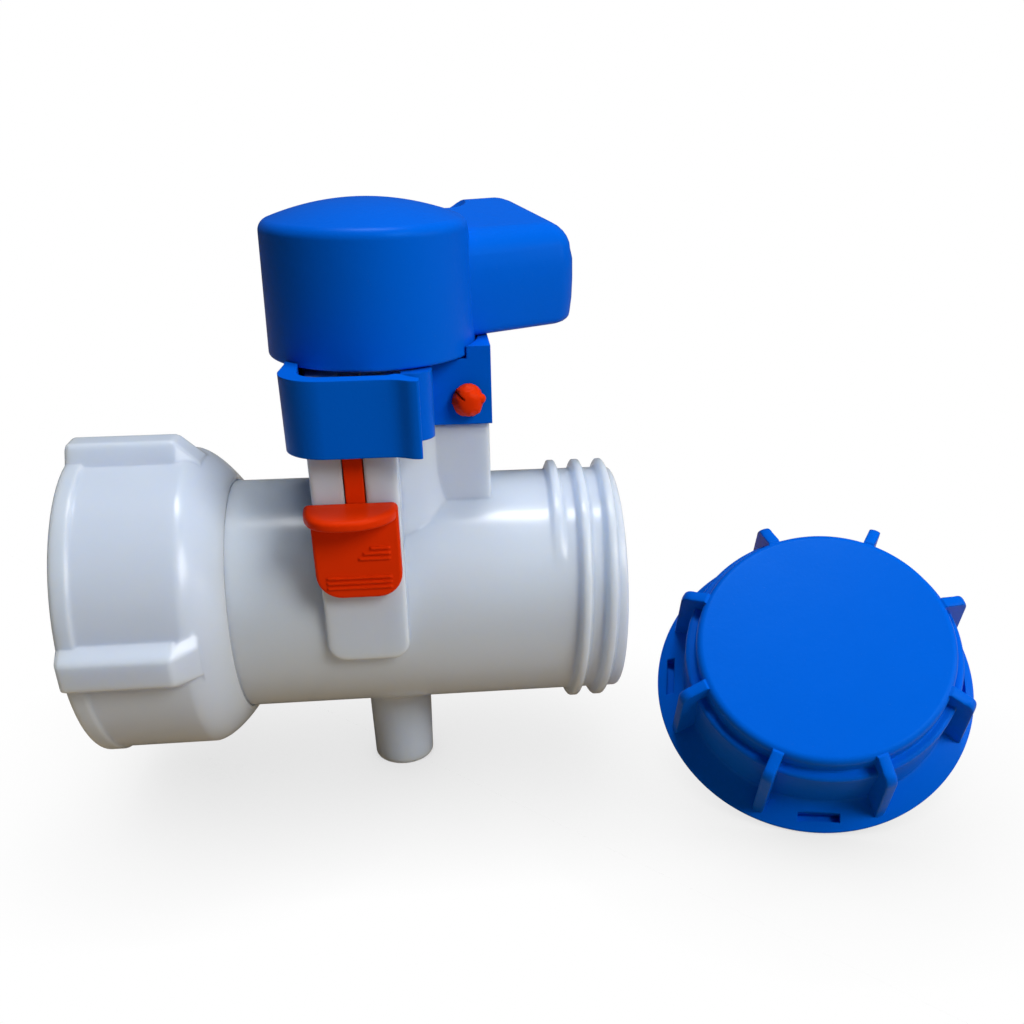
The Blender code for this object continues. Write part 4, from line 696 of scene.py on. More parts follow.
def rubber(name):
    """A matt black rubber with a dusty, finely pitted skin."""
    made, tree, shader = new_material(name)
    dust = clouds(tree, RUBBER_SCALE, 5.0)
    feed(shader, {
        "Base Color": mixed(tree, dust, (*RUBBER, 1.0), (*DUSTY_RUBBER, 1.0)),
        "Roughness": ranged(tree, dust, 0.5, 0.78),
        "Normal": bump(tree, dust, 0.4, PIT_DEPTH),
    })
    return made


# Threads

def held(value):
    """A value held between 0 and 1."""
    return min(max(value, 0.0), 1.0)


def thread_wave(top_place, height, first_turn, last_place):
    """A right-handed thread round Z's turned form, as a height over its root at (place, degrees).

    The forms are laid along X afterwards, so degrees 0 looks down and 180 looks up.
    """
    def wave(along, degrees):
        # turn counts from the top, through the front, towards the outlet
        turn = (180 - degrees) % 360
        across = along - top_place - THREAD_PITCH * turn / 360
        lap = round(across / THREAD_PITCH)
        off = abs(across - lap * THREAD_PITCH)
        flank = held((THREAD_RIDGE - off) / THREAD_FLANK)
        flank = flank * flank * (3 - 2 * flank)
        start = held((lap * 360 + turn - first_turn) / THREAD_FADE_TURN)
        end = held((last_place - along) / THREAD_FLANK)
        return height * flank * start * end
    return wave


def rows(start, end, spacing):
    """Evenly spaced places from start to end."""
    count = max(1, round(abs(end - start) / spacing))
    return [start + (end - start) * step / count for step in range(count + 1)]


# Pipe body

def pipe_shell():
    """The hollow pipe with its outlet thread and the groove of its retaining ring."""
    groove_radius = PIPE_RADIUS - RETAINING_DEPTH
    profile = corner_arc(BORE_RADIUS, -INLET_REACH, END_ROUNDING, 180, 1)
    profile += corner_arc(PIPE_RADIUS, -INLET_REACH, END_ROUNDING, 270, 1)
    profile += [(PIPE_RADIUS, -RETAINING_START), (groove_radius, -RETAINING_START)]
    profile += [(groove_radius, -RETAINING_END), (PIPE_RADIUS, -RETAINING_END)]
    thread_end = OUTLET_REACH - END_ROUNDING
    for along in rows(THREAD_TOP_PLACE - THREAD_PITCH, thread_end, THREAD_STEP):
        profile.append((PIPE_RADIUS, along, 1))
    profile += arc((PIPE_RADIUS - END_ROUNDING, thread_end), END_ROUNDING, 22.5, 90, 3)
    profile += corner_arc(BORE_RADIUS, OUTLET_REACH, END_ROUNDING, 90, 4)
    wave = thread_wave(THREAD_TOP_PLACE, THREAD_CREST, THREAD_START_TURN, thread_end)
    return move(turned("pipe", profile, FINE_STEPS, wave), ALONG_X)


def neck_shell():
    """The neck with its flare, its open pocket and the stem's bore."""
    wall = NECK_RADIUS - NECK_WALL
    root = sqrt(BORE_RADIUS**2 - NECK_RADIUS**2)
    flare_bottom = sqrt(PIPE_RADIUS**2 - NECK_RADIUS**2)
    profile = [(STEM_HOLE, root), (NECK_RADIUS + NECK_FLARE, root)]
    for share in shares(10):
        radius = NECK_RADIUS + NECK_FLARE * (1 - share) ** 2
        profile.append((radius, flare_bottom + (NECK_FLARE_TOP - flare_bottom) * share))
    profile += corner_arc(NECK_RADIUS, NECK_TOP, RIM_ROUNDING, 0, 3)
    profile += corner_arc(wall, NECK_TOP, RIM_ROUNDING, 90, 3)
    profile += [(wall, POCKET_FLOOR), (TUBE_RADIUS, POCKET_FLOOR), (TUBE_RADIUS, NECK_TOP)]
    profile += [(STEM_BORE, NECK_TOP), (STEM_BORE, NECK_FLOOR), (STEM_HOLE, NECK_FLOOR)]
    return turned("neck", profile, ROUND_STEPS)


def foot_shell():
    """The peg under the pipe."""
    end = -PIPE_HEIGHT
    root = -sqrt(PIPE_RADIUS**2 - FOOT_RADIUS**2)
    profile = [(0, end)]
    profile += corner_arc(FOOT_END_RADIUS, end, FOOT_ROUNDING, 270, 5)
    flare_start = root - 2 * FOOT_FLARE
    for share in shares(6):
        radius = FOOT_RADIUS + FOOT_FLARE * share**FOOT_FLARE_POWER
        profile.append((radius, flare_start + 2 * FOOT_FLARE * share))
    profile += [(FOOT_RADIUS + FOOT_FLARE, -BORE_RADIUS), (0, -BORE_RADIUS)]
    return turned("foot", profile, ROUND_STEPS)


def rail_shell():
    """The upright rail, cut back at its upper left edge where the clip's arm turns round it."""
    left = RAIL_CENTRE - RAIL_HALF_WIDTH
    right = RAIL_CENTRE + RAIL_HALF_WIDTH
    front = -RAIL_FRONT
    rail = front_plate(
        "rail", left, right, RAIL_BOTTOM, RAIL_TOP, RAIL_CORNER, -RAIL_BACK, front, RAIL_EDGE
    )
    outline = [(left - OVERRUN, front - OVERRUN), (left + RAIL_RELIEF, front - OVERRUN)]
    outline += arc((left + RAIL_RELIEF, front + RAIL_RELIEF), RAIL_RELIEF, 270, 180)
    outline.append((left - OVERRUN, front + RAIL_RELIEF))
    cut(rail, raised("relief", outline, CLIP_BOTTOM - CLIP_EDGE, RAIL_TOP + OVERRUN))
    return rail


def rail_block(name, half_width, front, back, bottom, top):
    """A box across the rail's middle."""
    low = (RAIL_CENTRE - half_width, front, bottom)
    return block(name, low, (RAIL_CENTRE + half_width, back, top))


def rail_cutters():
    """The slot and the wider channel of the locking slide."""
    top = RAIL_TOP + OVERRUN
    front = -RAIL_FRONT + RAIL_WALL
    back = front + CHANNEL_DEPTH
    slot_front = -RAIL_FRONT - OVERRUN
    slot = rail_block("slot", SLOT_HALF_WIDTH, slot_front, -NECK_RADIUS + FIT_GAP, SLOT_BOTTOM, top)
    return slot, rail_block("channel", CHANNEL_HALF_WIDTH, front, back, CHANNEL_BOTTOM, top)


def pin_bore(name, radius, half_length):
    """A round hole along Y at the pin's place."""
    return move(move(cylinder(name, radius, -half_length, half_length), FACING_FRONT), PIN_SPOT)


def make_body(finish):
    """The valve's one-piece moulding with its outlet thread."""
    inside = NECK_RADIUS - NECK_WALL / 2
    post_low = (POST_ROOT, -POST_HALF_DEPTH, NECK_FLOOR - PIPE_RADIUS / 2)
    post = bevelled(block("post", post_low, (POST_FAR, POST_HALF_DEPTH, POST_TOP)), POST_ROUNDING)
    tab_low = (TAB_NEAR, -TAB_HALF_DEPTH, POST_TOP - OVERLAP)
    join(post, block("tab", tab_low, (TAB_FAR, TAB_HALF_DEPTH, TAB_TOP)))
    cut(post, pin_bore("tab_hole", PIN_RADIUS + FIT_GAP, POST_HALF_DEPTH))
    rail = rail_shell()
    for leaning in (post, rail):
        cut(leaning, cylinder("neck_inside", inside, POCKET_FLOOR - NECK_WALL, RAIL_TOP + OVERRUN))
    upper = neck_shell()
    join(upper, rail, post)
    cut(upper, *rail_cutters())
    join(upper, foot_shell())
    room = cylinder("bore_room", BORE_RADIUS + FIT_GAP, -OUTLET_REACH, OUTLET_REACH, ROUND_STEPS)
    cut(upper, move(room, ALONG_X))
    body = pipe_shell()
    join(body, upper)
    cut(body, cylinder("stem_hole", STEM_HOLE, 0, NECK_FLOOR + OVERLAP))
    place(lifted(body), "body_moulding", "body", "valve_body", finish)


# Union nut

def nut_lug(index):
    """One lug along the nut, with sloped flanks, a sloped end and rounded crown edges."""
    root = NUT_RADIUS - 2 * OVERLAP
    start = -NUT_MOUTH + FIT_GAP
    edge = LUG_ROUNDING
    bend = edge * LUG_START_SHARE
    sections = (
        (start, LUG_RADIUS - edge),
        (start + bend, LUG_RADIUS - bend),
        (start + edge, LUG_RADIUS),
        (-LUG_END - edge * (1 - LUG_START_SHARE), LUG_RADIUS),
        (-LUG_END + bend, LUG_RADIUS - edge * LUG_END_SHARE),
        (-LUG_END + LUG_SLOPE, root + OVERLAP),
    )
    rings = []
    for along, crown in sections:
        drop = edge * ((crown - root) / (LUG_RADIUS - root))
        side = [(LUG_BASE_HALF_WIDTH, root)]
        side += [(LUG_TOP_HALF_WIDTH + drop * out, crown - drop * down) for out, down in LUG_CROWN_SHARES]
        ring = [(along, -across, up) for across, up in side]
        ring += [(along, across, up) for across, up in reversed(side)]
        rings.append(ring)
    return spin(lofted("lug", rings), 360 * index / LUG_COUNT, "X")


def make_nut(finish):
    """The union nut: stepped rim, barrel, rounded shoulder, lugs and a thread inside its mouth."""
    hole = PIPE_RADIUS + FIT_GAP
    rim_end = -NUT_MOUTH + NUT_RIM_LENGTH
    step_down = NUT_RIM_RADIUS - NUT_RADIUS
    profile = [(NUT_THREAD_RADIUS + MOUTH_CHAMFER, -NUT_MOUTH)]
    profile += corner_arc(NUT_RIM_RADIUS, -NUT_MOUTH, NUT_ROUNDING, 270, 6)
    profile += [(NUT_RIM_RADIUS, rim_end - step_down), (NUT_RADIUS, rim_end)]
    drop_all = NUT_RADIUS - hole - NUT_LIP
    run_all = NUT_SHOULDER_START - NUT_END
    for share in shares(24):
        radius = NUT_RADIUS - drop_all * share**NUT_SHOULDER_POWER
        profile.append((radius, -NUT_SHOULDER_START + run_all * share))
    profile += [(hole, -NUT_END), (hole, -NUT_SHOULDER), (NUT_THREAD_RADIUS, -NUT_SHOULDER)]
    mouth = -NUT_MOUTH + MOUTH_CHAMFER
    for along in rows(GASKET_FACE, mouth, 2 * THREAD_STEP):
        profile.append((NUT_THREAD_RADIUS, along, -1))
    ridge = thread_wave(mouth - THREAD_PITCH, THREAD_CREST * INNER_CREST_SHARE, 0, GASKET_FACE)
    nut = move(turned("nut", profile, FINE_STEPS, ridge), ALONG_X)
    for index in range(LUG_COUNT):
        join(nut, nut_lug(index))
    place(lifted(nut), "union_nut", "nut", "coupling_nut", finish)


# Handle

def knob_shell():
    """The drum with its rounded shoulder and domed top, solid as yet."""
    profile = [(0, KNOB_BOTTOM)]
    profile += corner_arc(KNOB_RADIUS, KNOB_BOTTOM, KNOB_RIM_ROUNDING, 270, 4)
    shoulder_centre = (KNOB_SHOULDER_RADIUS - KNOB_ROUNDING, KNOB_SHOULDER - KNOB_ROUNDING / 2)
    profile += arc(shoulder_centre, KNOB_ROUNDING, 0, KNOB_ROUNDING_TURN, 10)
    dome_steps = 14
    start_radius, start_height = profile[-1]
    rise = KNOB_DOME - start_height
    for step in range(1, dome_steps):
        share = 1 - step / dome_steps
        profile.append((start_radius * share, start_height + rise * (1 - share**2)))
    profile.append((0, KNOB_DOME))
    return turned("knob", profile, FINE_STEPS)


def finger_scoop():
    """A round dish at the lever's back beside the dome."""
    profile = [(0, SCOOP_BOTTOM)]
    profile += arc((0, SCOOP_BOTTOM + SCOOP_RADIUS), SCOOP_RADIUS, 280, 350, 14)
    roof = LEVER_BACK + SCOOP_RADIUS
    profile += [(profile[-1][0], roof), (0, roof)]
    return shift(turned("scoop", profile, ROUND_STEPS), SCOOP_ALONG, SCOOP_ACROSS, 0)


def lever_shell():
    """The lever, rounded on all its free edges, with a top that slopes up to the back."""
    levels = []
    for rise, drawn in quarter(5):
        gap = LEVER_BOTTOM_ROUNDING * rise
        levels.append((LEVER_BOTTOM + LEVER_BOTTOM_ROUNDING * drawn, gap, gap * LEVER_END_SHARE))
    for share in LEVER_BULGE_SHARES:
        height = LEVER_BOTTOM + (LEVER_TOP - LEVER_BOTTOM) * share
        bulge = -LEVER_BULGE * sin(pi * share)
        levels.append((height, bulge, bulge))
    for rise, drawn in quarter(7):
        gap = LEVER_TOP_ROUNDING * drawn
        levels.append((LEVER_TOP - LEVER_TOP_ROUNDING * rise, gap, gap * LEVER_TOP_END_SHARE))
    rings = []
    for height, gap, end_gap in levels:
        low = -LEVER_HALF_WIDTH + gap
        high = LEVER_HALF_WIDTH - gap
        reach = LEVER_REACH - end_gap
        corner = max(LEVER_CORNER - gap, LEVER_WALL / 2)
        outline = [(LEVER_ROOT, high), (LEVER_ROOT, low)]
        outline += corner_arc(reach, low, corner, 270) + corner_arc(reach, high, corner, 0)
        ring = []
        for x, y in outline:
            share = (y + LEVER_HALF_WIDTH) / (2 * LEVER_HALF_WIDTH)
            stretch = 1 + share * LEVER_SLOPE / (LEVER_TOP - LEVER_BOTTOM)
            ring.append((x, y, LEVER_BOTTOM + (height - LEVER_BOTTOM) * stretch))
        rings.append(ring)
    lever = lofted("lever", rings)
    trim = KNOB_SHOULDER_RADIUS - OVERLAP
    floor = KNOB_SHOULDER - KNOB_ROUNDING
    cut(lever, cylinder("dome_trim", trim, floor, LEVER_BACK + OVERRUN, ROUND_STEPS))
    cut(lever, finger_scoop())
    return lever


def lever_core(index):
    """One of the pockets cored out of the lever from below."""
    pocket_count = LEVER_RIB_COUNT + 1
    end_wall = LEVER_BOTTOM_ROUNDING * LEVER_END_SHARE + LEVER_WALL / 4
    span = LEVER_REACH - end_wall - LEVER_CORE_NEAR
    length = (span - LEVER_RIB * LEVER_RIB_COUNT) / pocket_count
    near = LEVER_CORE_NEAR + index * (length + LEVER_RIB)
    low = (near, -LEVER_HALF_WIDTH + LEVER_WALL)
    high = (near + length, LEVER_HALF_WIDTH - LEVER_WALL)
    corner = LEVER_CORNER - LEVER_WALL if index == pocket_count - 1 else LEVER_WALL / 2
    outline = [(low[0], high[1]), (low[0], low[1])]
    outline += corner_arc(high[0], low[1], corner, 270, 4) + corner_arc(high[0], high[1], corner, 0, 4)
    return raised("core", outline, LEVER_BOTTOM - OVERRUN, LEVER_TOP - LEVER_ROOF)


def knob_cavity():
    """The hollow of the drum round its central socket."""
    inner_radius = KNOB_RADIUS - KNOB_WALL
    roof_radius = KNOB_SHOULDER_RADIUS - KNOB_WALL
    profile = [(0, KNOB_BOTTOM - OVERRUN), (inner_radius, KNOB_BOTTOM - OVERRUN)]
    profile += [(inner_radius, KNOB_BOTTOM), (roof_radius, KNOB_ROOF - KNOB_WALL)]
    profile += [(roof_radius - KNOB_WALL, KNOB_ROOF), (SOCKET_RADIUS, KNOB_ROOF)]
    profile += [(SOCKET_RADIUS, SOCKET_BOTTOM), (0, SOCKET_BOTTOM)]
    return turned("knob_cavity", profile, ROUND_STEPS)


def notch_rib(degrees):
    """A rib inside the drum's skirt."""
    outer = KNOB_RADIUS - KNOB_WALL / 2
    half = NOTCH_RIB / 2
    inset = KNOB_RADIUS - KNOB_SHOULDER_RADIUS
    rings = []
    for height, reach in ((NOTCH_RIB_BOTTOM, outer - inset / 4), (KNOB_ROOF + OVERLAP, outer - inset)):
        ring = [(NOTCH_RIB_INNER, -half, height), (reach, -half, height)]
        ring += [(reach, half, height), (NOTCH_RIB_INNER, half, height)]
        rings.append(ring)
    return spin(lofted("rib", rings), degrees)


def make_handle(finish):
    """The handle: drum, lever, square socket and notch ribs."""
    handle = knob_shell()
    join(handle, lever_shell())
    cut(handle, knob_cavity())
    for index in range(LEVER_RIB_COUNT + 1):
        cut(handle, lever_core(index))
    low = (-SOCKET_HALF, -SOCKET_HALF, SOCKET_BOTTOM - OVERRUN)
    cut(handle, block("socket", low, (SOCKET_HALF, SOCKET_HALF, STEM_TOP)))
    for stop in (0, 90):
        for side in (-1, 1):
            join(handle, notch_rib(NOTCH_DIRECTION - stop + side * NOTCH_HALF_ANGLE))
    handle = lifted(spin(handle, LEVER_ANGLE))
    place(handle, "handle_moulding", "handle", "handle", finish)


# Locking slide

def shield_shell():
    """The plate in front of the rail."""
    left = RAIL_CENTRE + SHIELD_SHIFT - SHIELD_HALF_WIDTH
    right = RAIL_CENTRE + SHIELD_SHIFT + SHIELD_HALF_WIDTH
    return front_plate(
        "shield", left, right, SHIELD_BOTTOM, SHIELD_TOP, SHIELD_CORNER, SLIDE_BACK, SLIDE_FRONT, SHIELD_EDGE
    )


def ledge_shell():
    """The thumb ledge: blunt at the left, tapered to the right, falling to its rounded front edge."""
    middle = RAIL_CENTRE + LEDGE_SHIFT
    bottom = LEDGE_TOP - LEDGE_THICKNESS
    levels = [(bottom + LEDGE_EDGE * drawn, LEDGE_EDGE * rise) for rise, drawn in quarter(4)]
    levels += [(LEDGE_TOP - LEDGE_EDGE * rise, LEDGE_EDGE * drawn) for rise, drawn in quarter(4)]
    sides = ((-1, LEDGE_LEFT, LEDGE_LEFT_SHARE), (1, LEDGE_RIGHT, LEDGE_RIGHT_SHARE))
    rings = []
    side_steps = 24
    for height, gap in levels:
        ring = []
        for side, width, power in sides:
            half = []
            for step in range(side_steps + 1):
                turn = pi / 2 * step / side_steps
                across = (width - gap) * sin(turn) ** (2 / power)
                ahead = (LEDGE_REACH - gap) * cos(turn) ** (2 / power)
                fall = 1 - LEDGE_DROP_SHARE * ahead / LEDGE_REACH
                half.append((middle + side * across, SLIDE_BACK - ahead, bottom + (height - bottom) * fall))
            ring += list(reversed(half)) if side < 0 else half[1:]
        rings.append(ring)
    return lofted("ledge", rings)


def grip_rib(height, start):
    """A low rounded line across the shield."""
    half = GRIP_RIB_WIDTH / 2
    root = SLIDE_FRONT + OVERLAP / 2
    places = [(start, GRIP_RIB_END_SHARE), (start + half, 1)]
    places += [(GRIP_RIB_END - half, 1), (GRIP_RIB_END, GRIP_RIB_END_SHARE)]
    rings = []
    rib_steps = 5
    for along, share in places:
        ring = [(along, root, height - half)]
        for step in range(rib_steps + 1):
            turn = pi * step / rib_steps
            depth = SLIDE_FRONT - GRIP_RIB_HEIGHT * share * sin(turn)
            ring.append((along, depth, height - half * cos(turn)))
        ring.append((along, root, height + half))
        rings.append(ring)
    return lofted("grip", rings)


def make_slider(finish):
    """The locking slide with its shield, ledge, blade, runner and tongue."""
    slide = shield_shell()
    join(slide, ledge_shell())
    half = BLADE_HALF_WIDTH
    root = SLIDE_BACK - SHIELD_THICKNESS / 2
    blade = rail_block("blade", half, root, -TONGUE_MIDDLE, BLADE_BOTTOM, SHIELD_TOP)
    overlap = SHIELD_TOP - OVERLAP
    upper = rail_block("upper", half, -RAIL_FRONT, -TONGUE_MIDDLE, overlap, BLADE_TOP)
    tongue = rail_block("tongue", half, -TONGUE_OUTER, -TONGUE_INNER, TONGUE_BOTTOM, TONGUE_TOP)
    front = -RAIL_FRONT + RAIL_WALL + FIT_GAP
    back = front + RUNNER_THICKNESS
    runner = rail_block("runner", RUNNER_HALF_WIDTH, front, back, RUNNER_BOTTOM, RUNNER_TOP)
    join(slide, blade, upper, tongue, runner)
    for base, starts in ((GRIP_RIB_BASE, GRIP_RIB_STARTS), (SHORT_RIB_BASE, SHORT_RIB_STARTS)):
        for index, start in enumerate(starts):
            join(slide, grip_rib(base + index * GRIP_RIB_PITCH, start))
    place(lifted(slide), "locking_slide", "lock", "lock_slider", finish)


# Clip

def band(path, half_walls, left_end=(), right_end=()):
    """A band's outline: half its wall on each side of a path, then what follows there."""
    left = []
    right = []
    for index, point in enumerate(path):
        before = Vector(path[max(index - 1, 0)])
        after = Vector(path[min(index + 1, len(path) - 1)])
        along = (after - before).normalized()
        across = Vector((-along.y, along.x)) * half_walls[index]
        left.append(tuple(Vector(point) + across))
        right.append(tuple(Vector(point) - across))
    return left + list(left_end) + list(reversed(right_end)) + list(reversed(right))


def knob_clearance(piece):
    """Lowers the top of a piece where the knob turns over it."""
    floor = KNOB_BOTTOM - CLIP_KNOB_GAP
    cut(piece, cylinder("knob_room", KNOB_RADIUS + CLIP_KNOB_GAP, floor, BLOCK_TOP + OVERRUN, FINE_STEPS))
    return piece


def clip_band():
    """The clip's open ring round the back of the neck, and its arm with a flared lip in front."""
    half = CLIP_WALL / 2
    ring_half = RING_WALL / 2
    lean_half = (half + ring_half) / 2
    ring_middle = NECK_RADIUS + CLIP_RING_GAP + ring_half
    front_middle = -RAIL_FRONT - CLIP_FRONT_GAP - half
    corner = CLIP_CORNER - half
    path = arc((0, 0), ring_middle, -CLIP_ROOT_TURN, 180, 60)
    half_walls = [ring_half] * len(path)
    path.append((-CLIP_SIDE + CLIP_LEAN + lean_half, -CLIP_LEAN_PLACE))
    half_walls.append(lean_half)
    front_corner = corner_arc(-CLIP_SIDE + half, front_middle, corner, 180, 16)
    path += front_corner
    half_walls += [half] * len(front_corner)
    inside = [(along, front_middle + half + behind) for along, _, behind in LIP_BEND]
    outside = [(along, front_middle - half - ahead) for along, ahead, _ in LIP_BEND]
    outline = band(path, half_walls, inside, outside)
    return knob_clearance(raised("clip_band", outline, CLIP_BOTTOM, CLIP_TOP))


def clip_catch():
    """The short arm from the block's front, which the lip covers."""
    half = CATCH_WALL / 2
    side = CATCH_SIDE - half
    front = -CATCH_FRONT + half
    corner = CATCH_CORNER - half
    path = [(side, -CATCH_ROOT)]
    path += arc((side - corner, front + corner), corner, 360, 270, 12)
    path.append((CATCH_END, front))
    outline = band(path, [half] * len(path))
    return raised("clip_catch", outline, CLIP_BOTTOM, KNOB_BOTTOM - CLIP_KNOB_GAP)


def make_clip(finish):
    """The clip: block over the post's tab, ring, arm with lip and catch."""
    low = (BLOCK_NEAR - CATCH_WALL, -BLOCK_HALF_DEPTH, CLIP_BOTTOM)
    clip = block("clip_block", low, (BLOCK_FAR, BLOCK_HALF_DEPTH, BLOCK_TOP))
    knob_clearance(clip)
    join(clip, clip_band(), clip_catch())
    neck_gap = NECK_RADIUS + CLIP_NECK_GAP
    under = CLIP_BOTTOM - OVERRUN
    cut(clip, cylinder("neck_room", neck_gap, under, BLOCK_TOP + OVERRUN, ROUND_STEPS))
    tab_low = (TAB_NEAR - FIT_GAP, -TAB_HALF_DEPTH - FIT_GAP, under)
    tab_high = (TAB_FAR + FIT_GAP, TAB_HALF_DEPTH + FIT_GAP, TAB_TOP + FIT_GAP)
    cut(clip, block("tab_room", tab_low, tab_high))
    cut(clip, pin_bore("pin_room", PIN_RADIUS + FIT_GAP, BLOCK_HALF_DEPTH + OVERRUN))
    head_room = PIN_HEAD_RADIUS + FIT_GAP
    head = cylinder("head_room", head_room, -BLOCK_HALF_DEPTH - OVERRUN, -BLOCK_HALF_DEPTH)
    cut(clip, move(head, PIN_SPOT @ FACING_FRONT))
    place(lifted(clip), "clip_moulding", "body", "lock_clip", finish)


def make_pin(finish):
    """The snap pin, whose split front end is pressed uneven."""
    head_start = -BLOCK_HALF_DEPTH - FIT_GAP
    barb_start = BLOCK_HALF_DEPTH + FIT_GAP
    profile = [(0, head_start - PIN_HEAD)]
    profile += corner_arc(PIN_HEAD_RADIUS, head_start - PIN_HEAD, PIN_HEAD / 2, 270, 4)
    profile += [(PIN_HEAD_RADIUS, head_start), (PIN_RADIUS, head_start), (PIN_RADIUS, barb_start)]
    barb_steps = 14
    for step in range(barb_steps):
        turn = pi / 2 * step / barb_steps
        radius = PIN_BARB_RADIUS * cos(turn) ** PIN_BARB_POWER
        profile.append((radius, barb_start + PIN_BARB * sin(turn), 1))
    profile.append((0, barb_start + PIN_BARB))

    def pressed(height, degrees):
        x, y = polar(1, degrees)
        level = (height - barb_start) / PIN_BARB
        lumps = 0
        for around, along, share in PIN_LUMP_SHARES:
            lumps += share * noise.noise(Vector((x * around, y * around, level * along)))
        swell = held(PIN_LUMP_START_SHARE + (1 - PIN_LUMP_START_SHARE) * level)
        return lumps * PIN_LUMP * sin(pi * swell)

    pin = move(turned("pin", profile, SMALL_STEPS, pressed), FACING_FRONT)
    nub_profile = arc((0, 0), PIN_NUB_RADIUS, 270, 450, 10)
    nub_profile = [(max(0, radius), height) for radius, height in nub_profile]
    x, ahead, z = PIN_NUB_PLACE
    join(pin, shift(turned("nub", nub_profile, SMALL_STEPS // 2), x, -barb_start - ahead, z))
    tip = -barb_start - PIN_BARB
    low = (-PIN_BARB_RADIUS - OVERRUN, tip - OVERRUN, -PIN_SLIT / 2)
    high = (-PIN_SLIT_REACH, tip + PIN_BARB * PIN_SLIT_SHARE, PIN_SLIT / 2)
    cut(pin, spin(block("slit", low, high), PIN_SLIT_TURN, "Y"))
    move(pin, PIN_SPOT)
    place(lifted(pin), "snap_pin", "body", "clip_pin", finish)


# Dust cap

def cap_frame():
    """The cap's place and tilt: its lowest edge is on the ground."""
    tilt = radians(CAP_TILT)
    x, y = polar(sin(tilt), CAP_TILT_DIRECTION)
    axis = Vector((x, y, cos(tilt)))
    across = (Vector((1, 0, 0)) - axis * axis.x).normalized()
    along = axis.cross(across)
    height = CAP_FLANGE_RADIUS * sin(tilt)
    turn = Matrix((across, along, axis)).transposed().to_4x4()
    return Matrix.Translation((*CAP_PLACE, height)) @ turn


def cap_shell():
    """The cap's turned form, with a serrated rim and a thread inside."""
    edge = CAP_FLANGE_RADIUS
    skin = CAP_FLANGE_SKIN
    rim = CAP_FLANGE_RIM
    barrel = CAP_BARREL_RADIUS
    inner = barrel - CAP_BARREL_WALL
    serration_top = rim * SERRATION_TOP_SHARE
    profile = [
        (inner, 0), (barrel, 0), (barrel, CAP_FLANGE_RISE - skin),
        (edge - skin, rim / 3), (edge - skin / 2, 0),
        (edge - SERRATION_DEPTH, 0, -2), (edge - SERRATION_DEPTH, serration_top, -2),
        (edge, rim * CAP_RIM_STEP_SHARE), (edge, rim),
        (edge - skin / 8, rim + skin / 8), (edge - skin / 2, rim + skin / 4),
    ]
    for out, up in CAP_FILLET_SHARES:
        profile.append((barrel + CAP_ROUNDING * out, CAP_FLANGE_RISE + CAP_ROUNDING * up))
    profile += corner_arc(barrel, CAP_LEDGE_HEIGHT, CAP_ROUNDING, 0, 5)
    profile.append((CAP_DISC_RADIUS + CAP_ROUNDING / 3, CAP_LEDGE_HEIGHT))
    profile.append((CAP_DISC_RADIUS, CAP_LEDGE_HEIGHT + CAP_ROUNDING / 3))
    profile += corner_arc(CAP_DISC_RADIUS, CAP_HEIGHT, CAP_DISC_ROUNDING, 0, 8)
    roof = CAP_HEIGHT - CAP_DISC_WALL
    profile += [(0, CAP_HEIGHT), (0, roof), (CAP_SEAT_RADIUS, roof)]
    profile += [(CAP_SEAT_RADIUS, CAP_SEAT_HEIGHT), (inner, CAP_SEAT_HEIGHT)]
    for height in rows(CAP_SEAT_HEIGHT - THREAD_RIDGE / 2, THREAD_RIDGE / 2, 2 * THREAD_STEP):
        profile.append((inner, height, 1))
    ridge = thread_wave(THREAD_PITCH / 3, THREAD_CREST * INNER_CREST_SHARE, 0, CAP_SEAT_HEIGHT)

    def wave(height, degrees):
        if height <= serration_top:
            return SERRATION_DEPTH / 2 * (1 + cos(radians(degrees * SERRATION_COUNT)))
        return -ridge(height, degrees)

    return turned("cap", profile, 3 * SERRATION_COUNT, wave)


def cap_lug(index):
    """A thin upright fin from the disc's edge to the flange, with a round outer corner."""
    top = CAP_HEIGHT - CAP_ROUNDING / 4
    root = CAP_DISC_RADIUS - OVERLAP
    foot = CAP_FLANGE_RIM
    corner_centre = (CAP_LUG_TOP_REACH - CAP_LUG_CORNER, top - CAP_LUG_DROP - CAP_LUG_CORNER)
    outline = [(root, top - CAP_ROUNDING / 2), (root, foot + CAP_FLANGE_RISE / 2)]
    outline.append((CAP_FLANGE_RADIUS - CAP_FLANGE_SKIN * 2, foot))
    outline.append((CAP_LUG_FOOT_REACH, foot + CAP_FLANGE_SKIN / 3))
    outline += arc(corner_centre, CAP_LUG_CORNER, 0, 80, 8)
    outline.append((CAP_DISC_RADIUS, top))
    half = CAP_LUG_THICKNESS / 2
    centre_radius = sum(point[0] for point in outline) / len(outline)
    centre_height = sum(point[1] for point in outline) / len(outline)
    rings = []
    fin_steps = 14
    for step in range(fin_steps + 1):
        side = -cos(pi * step / fin_steps)
        pull = (1 - sqrt(max(0.0, 1 - side * side))) * half / (CAP_HEIGHT / 2)
        ring = []
        for radius, height in outline:
            if radius > CAP_DISC_RADIUS:
                radius += (centre_radius - radius) * pull
                height += (centre_height - height) * pull
            ring.append((radius, side * half, height))
        rings.append(ring)
    return spin(lofted("fin", rings), CAP_LUG_PHASE + 360 * index / CAP_LUG_COUNT)


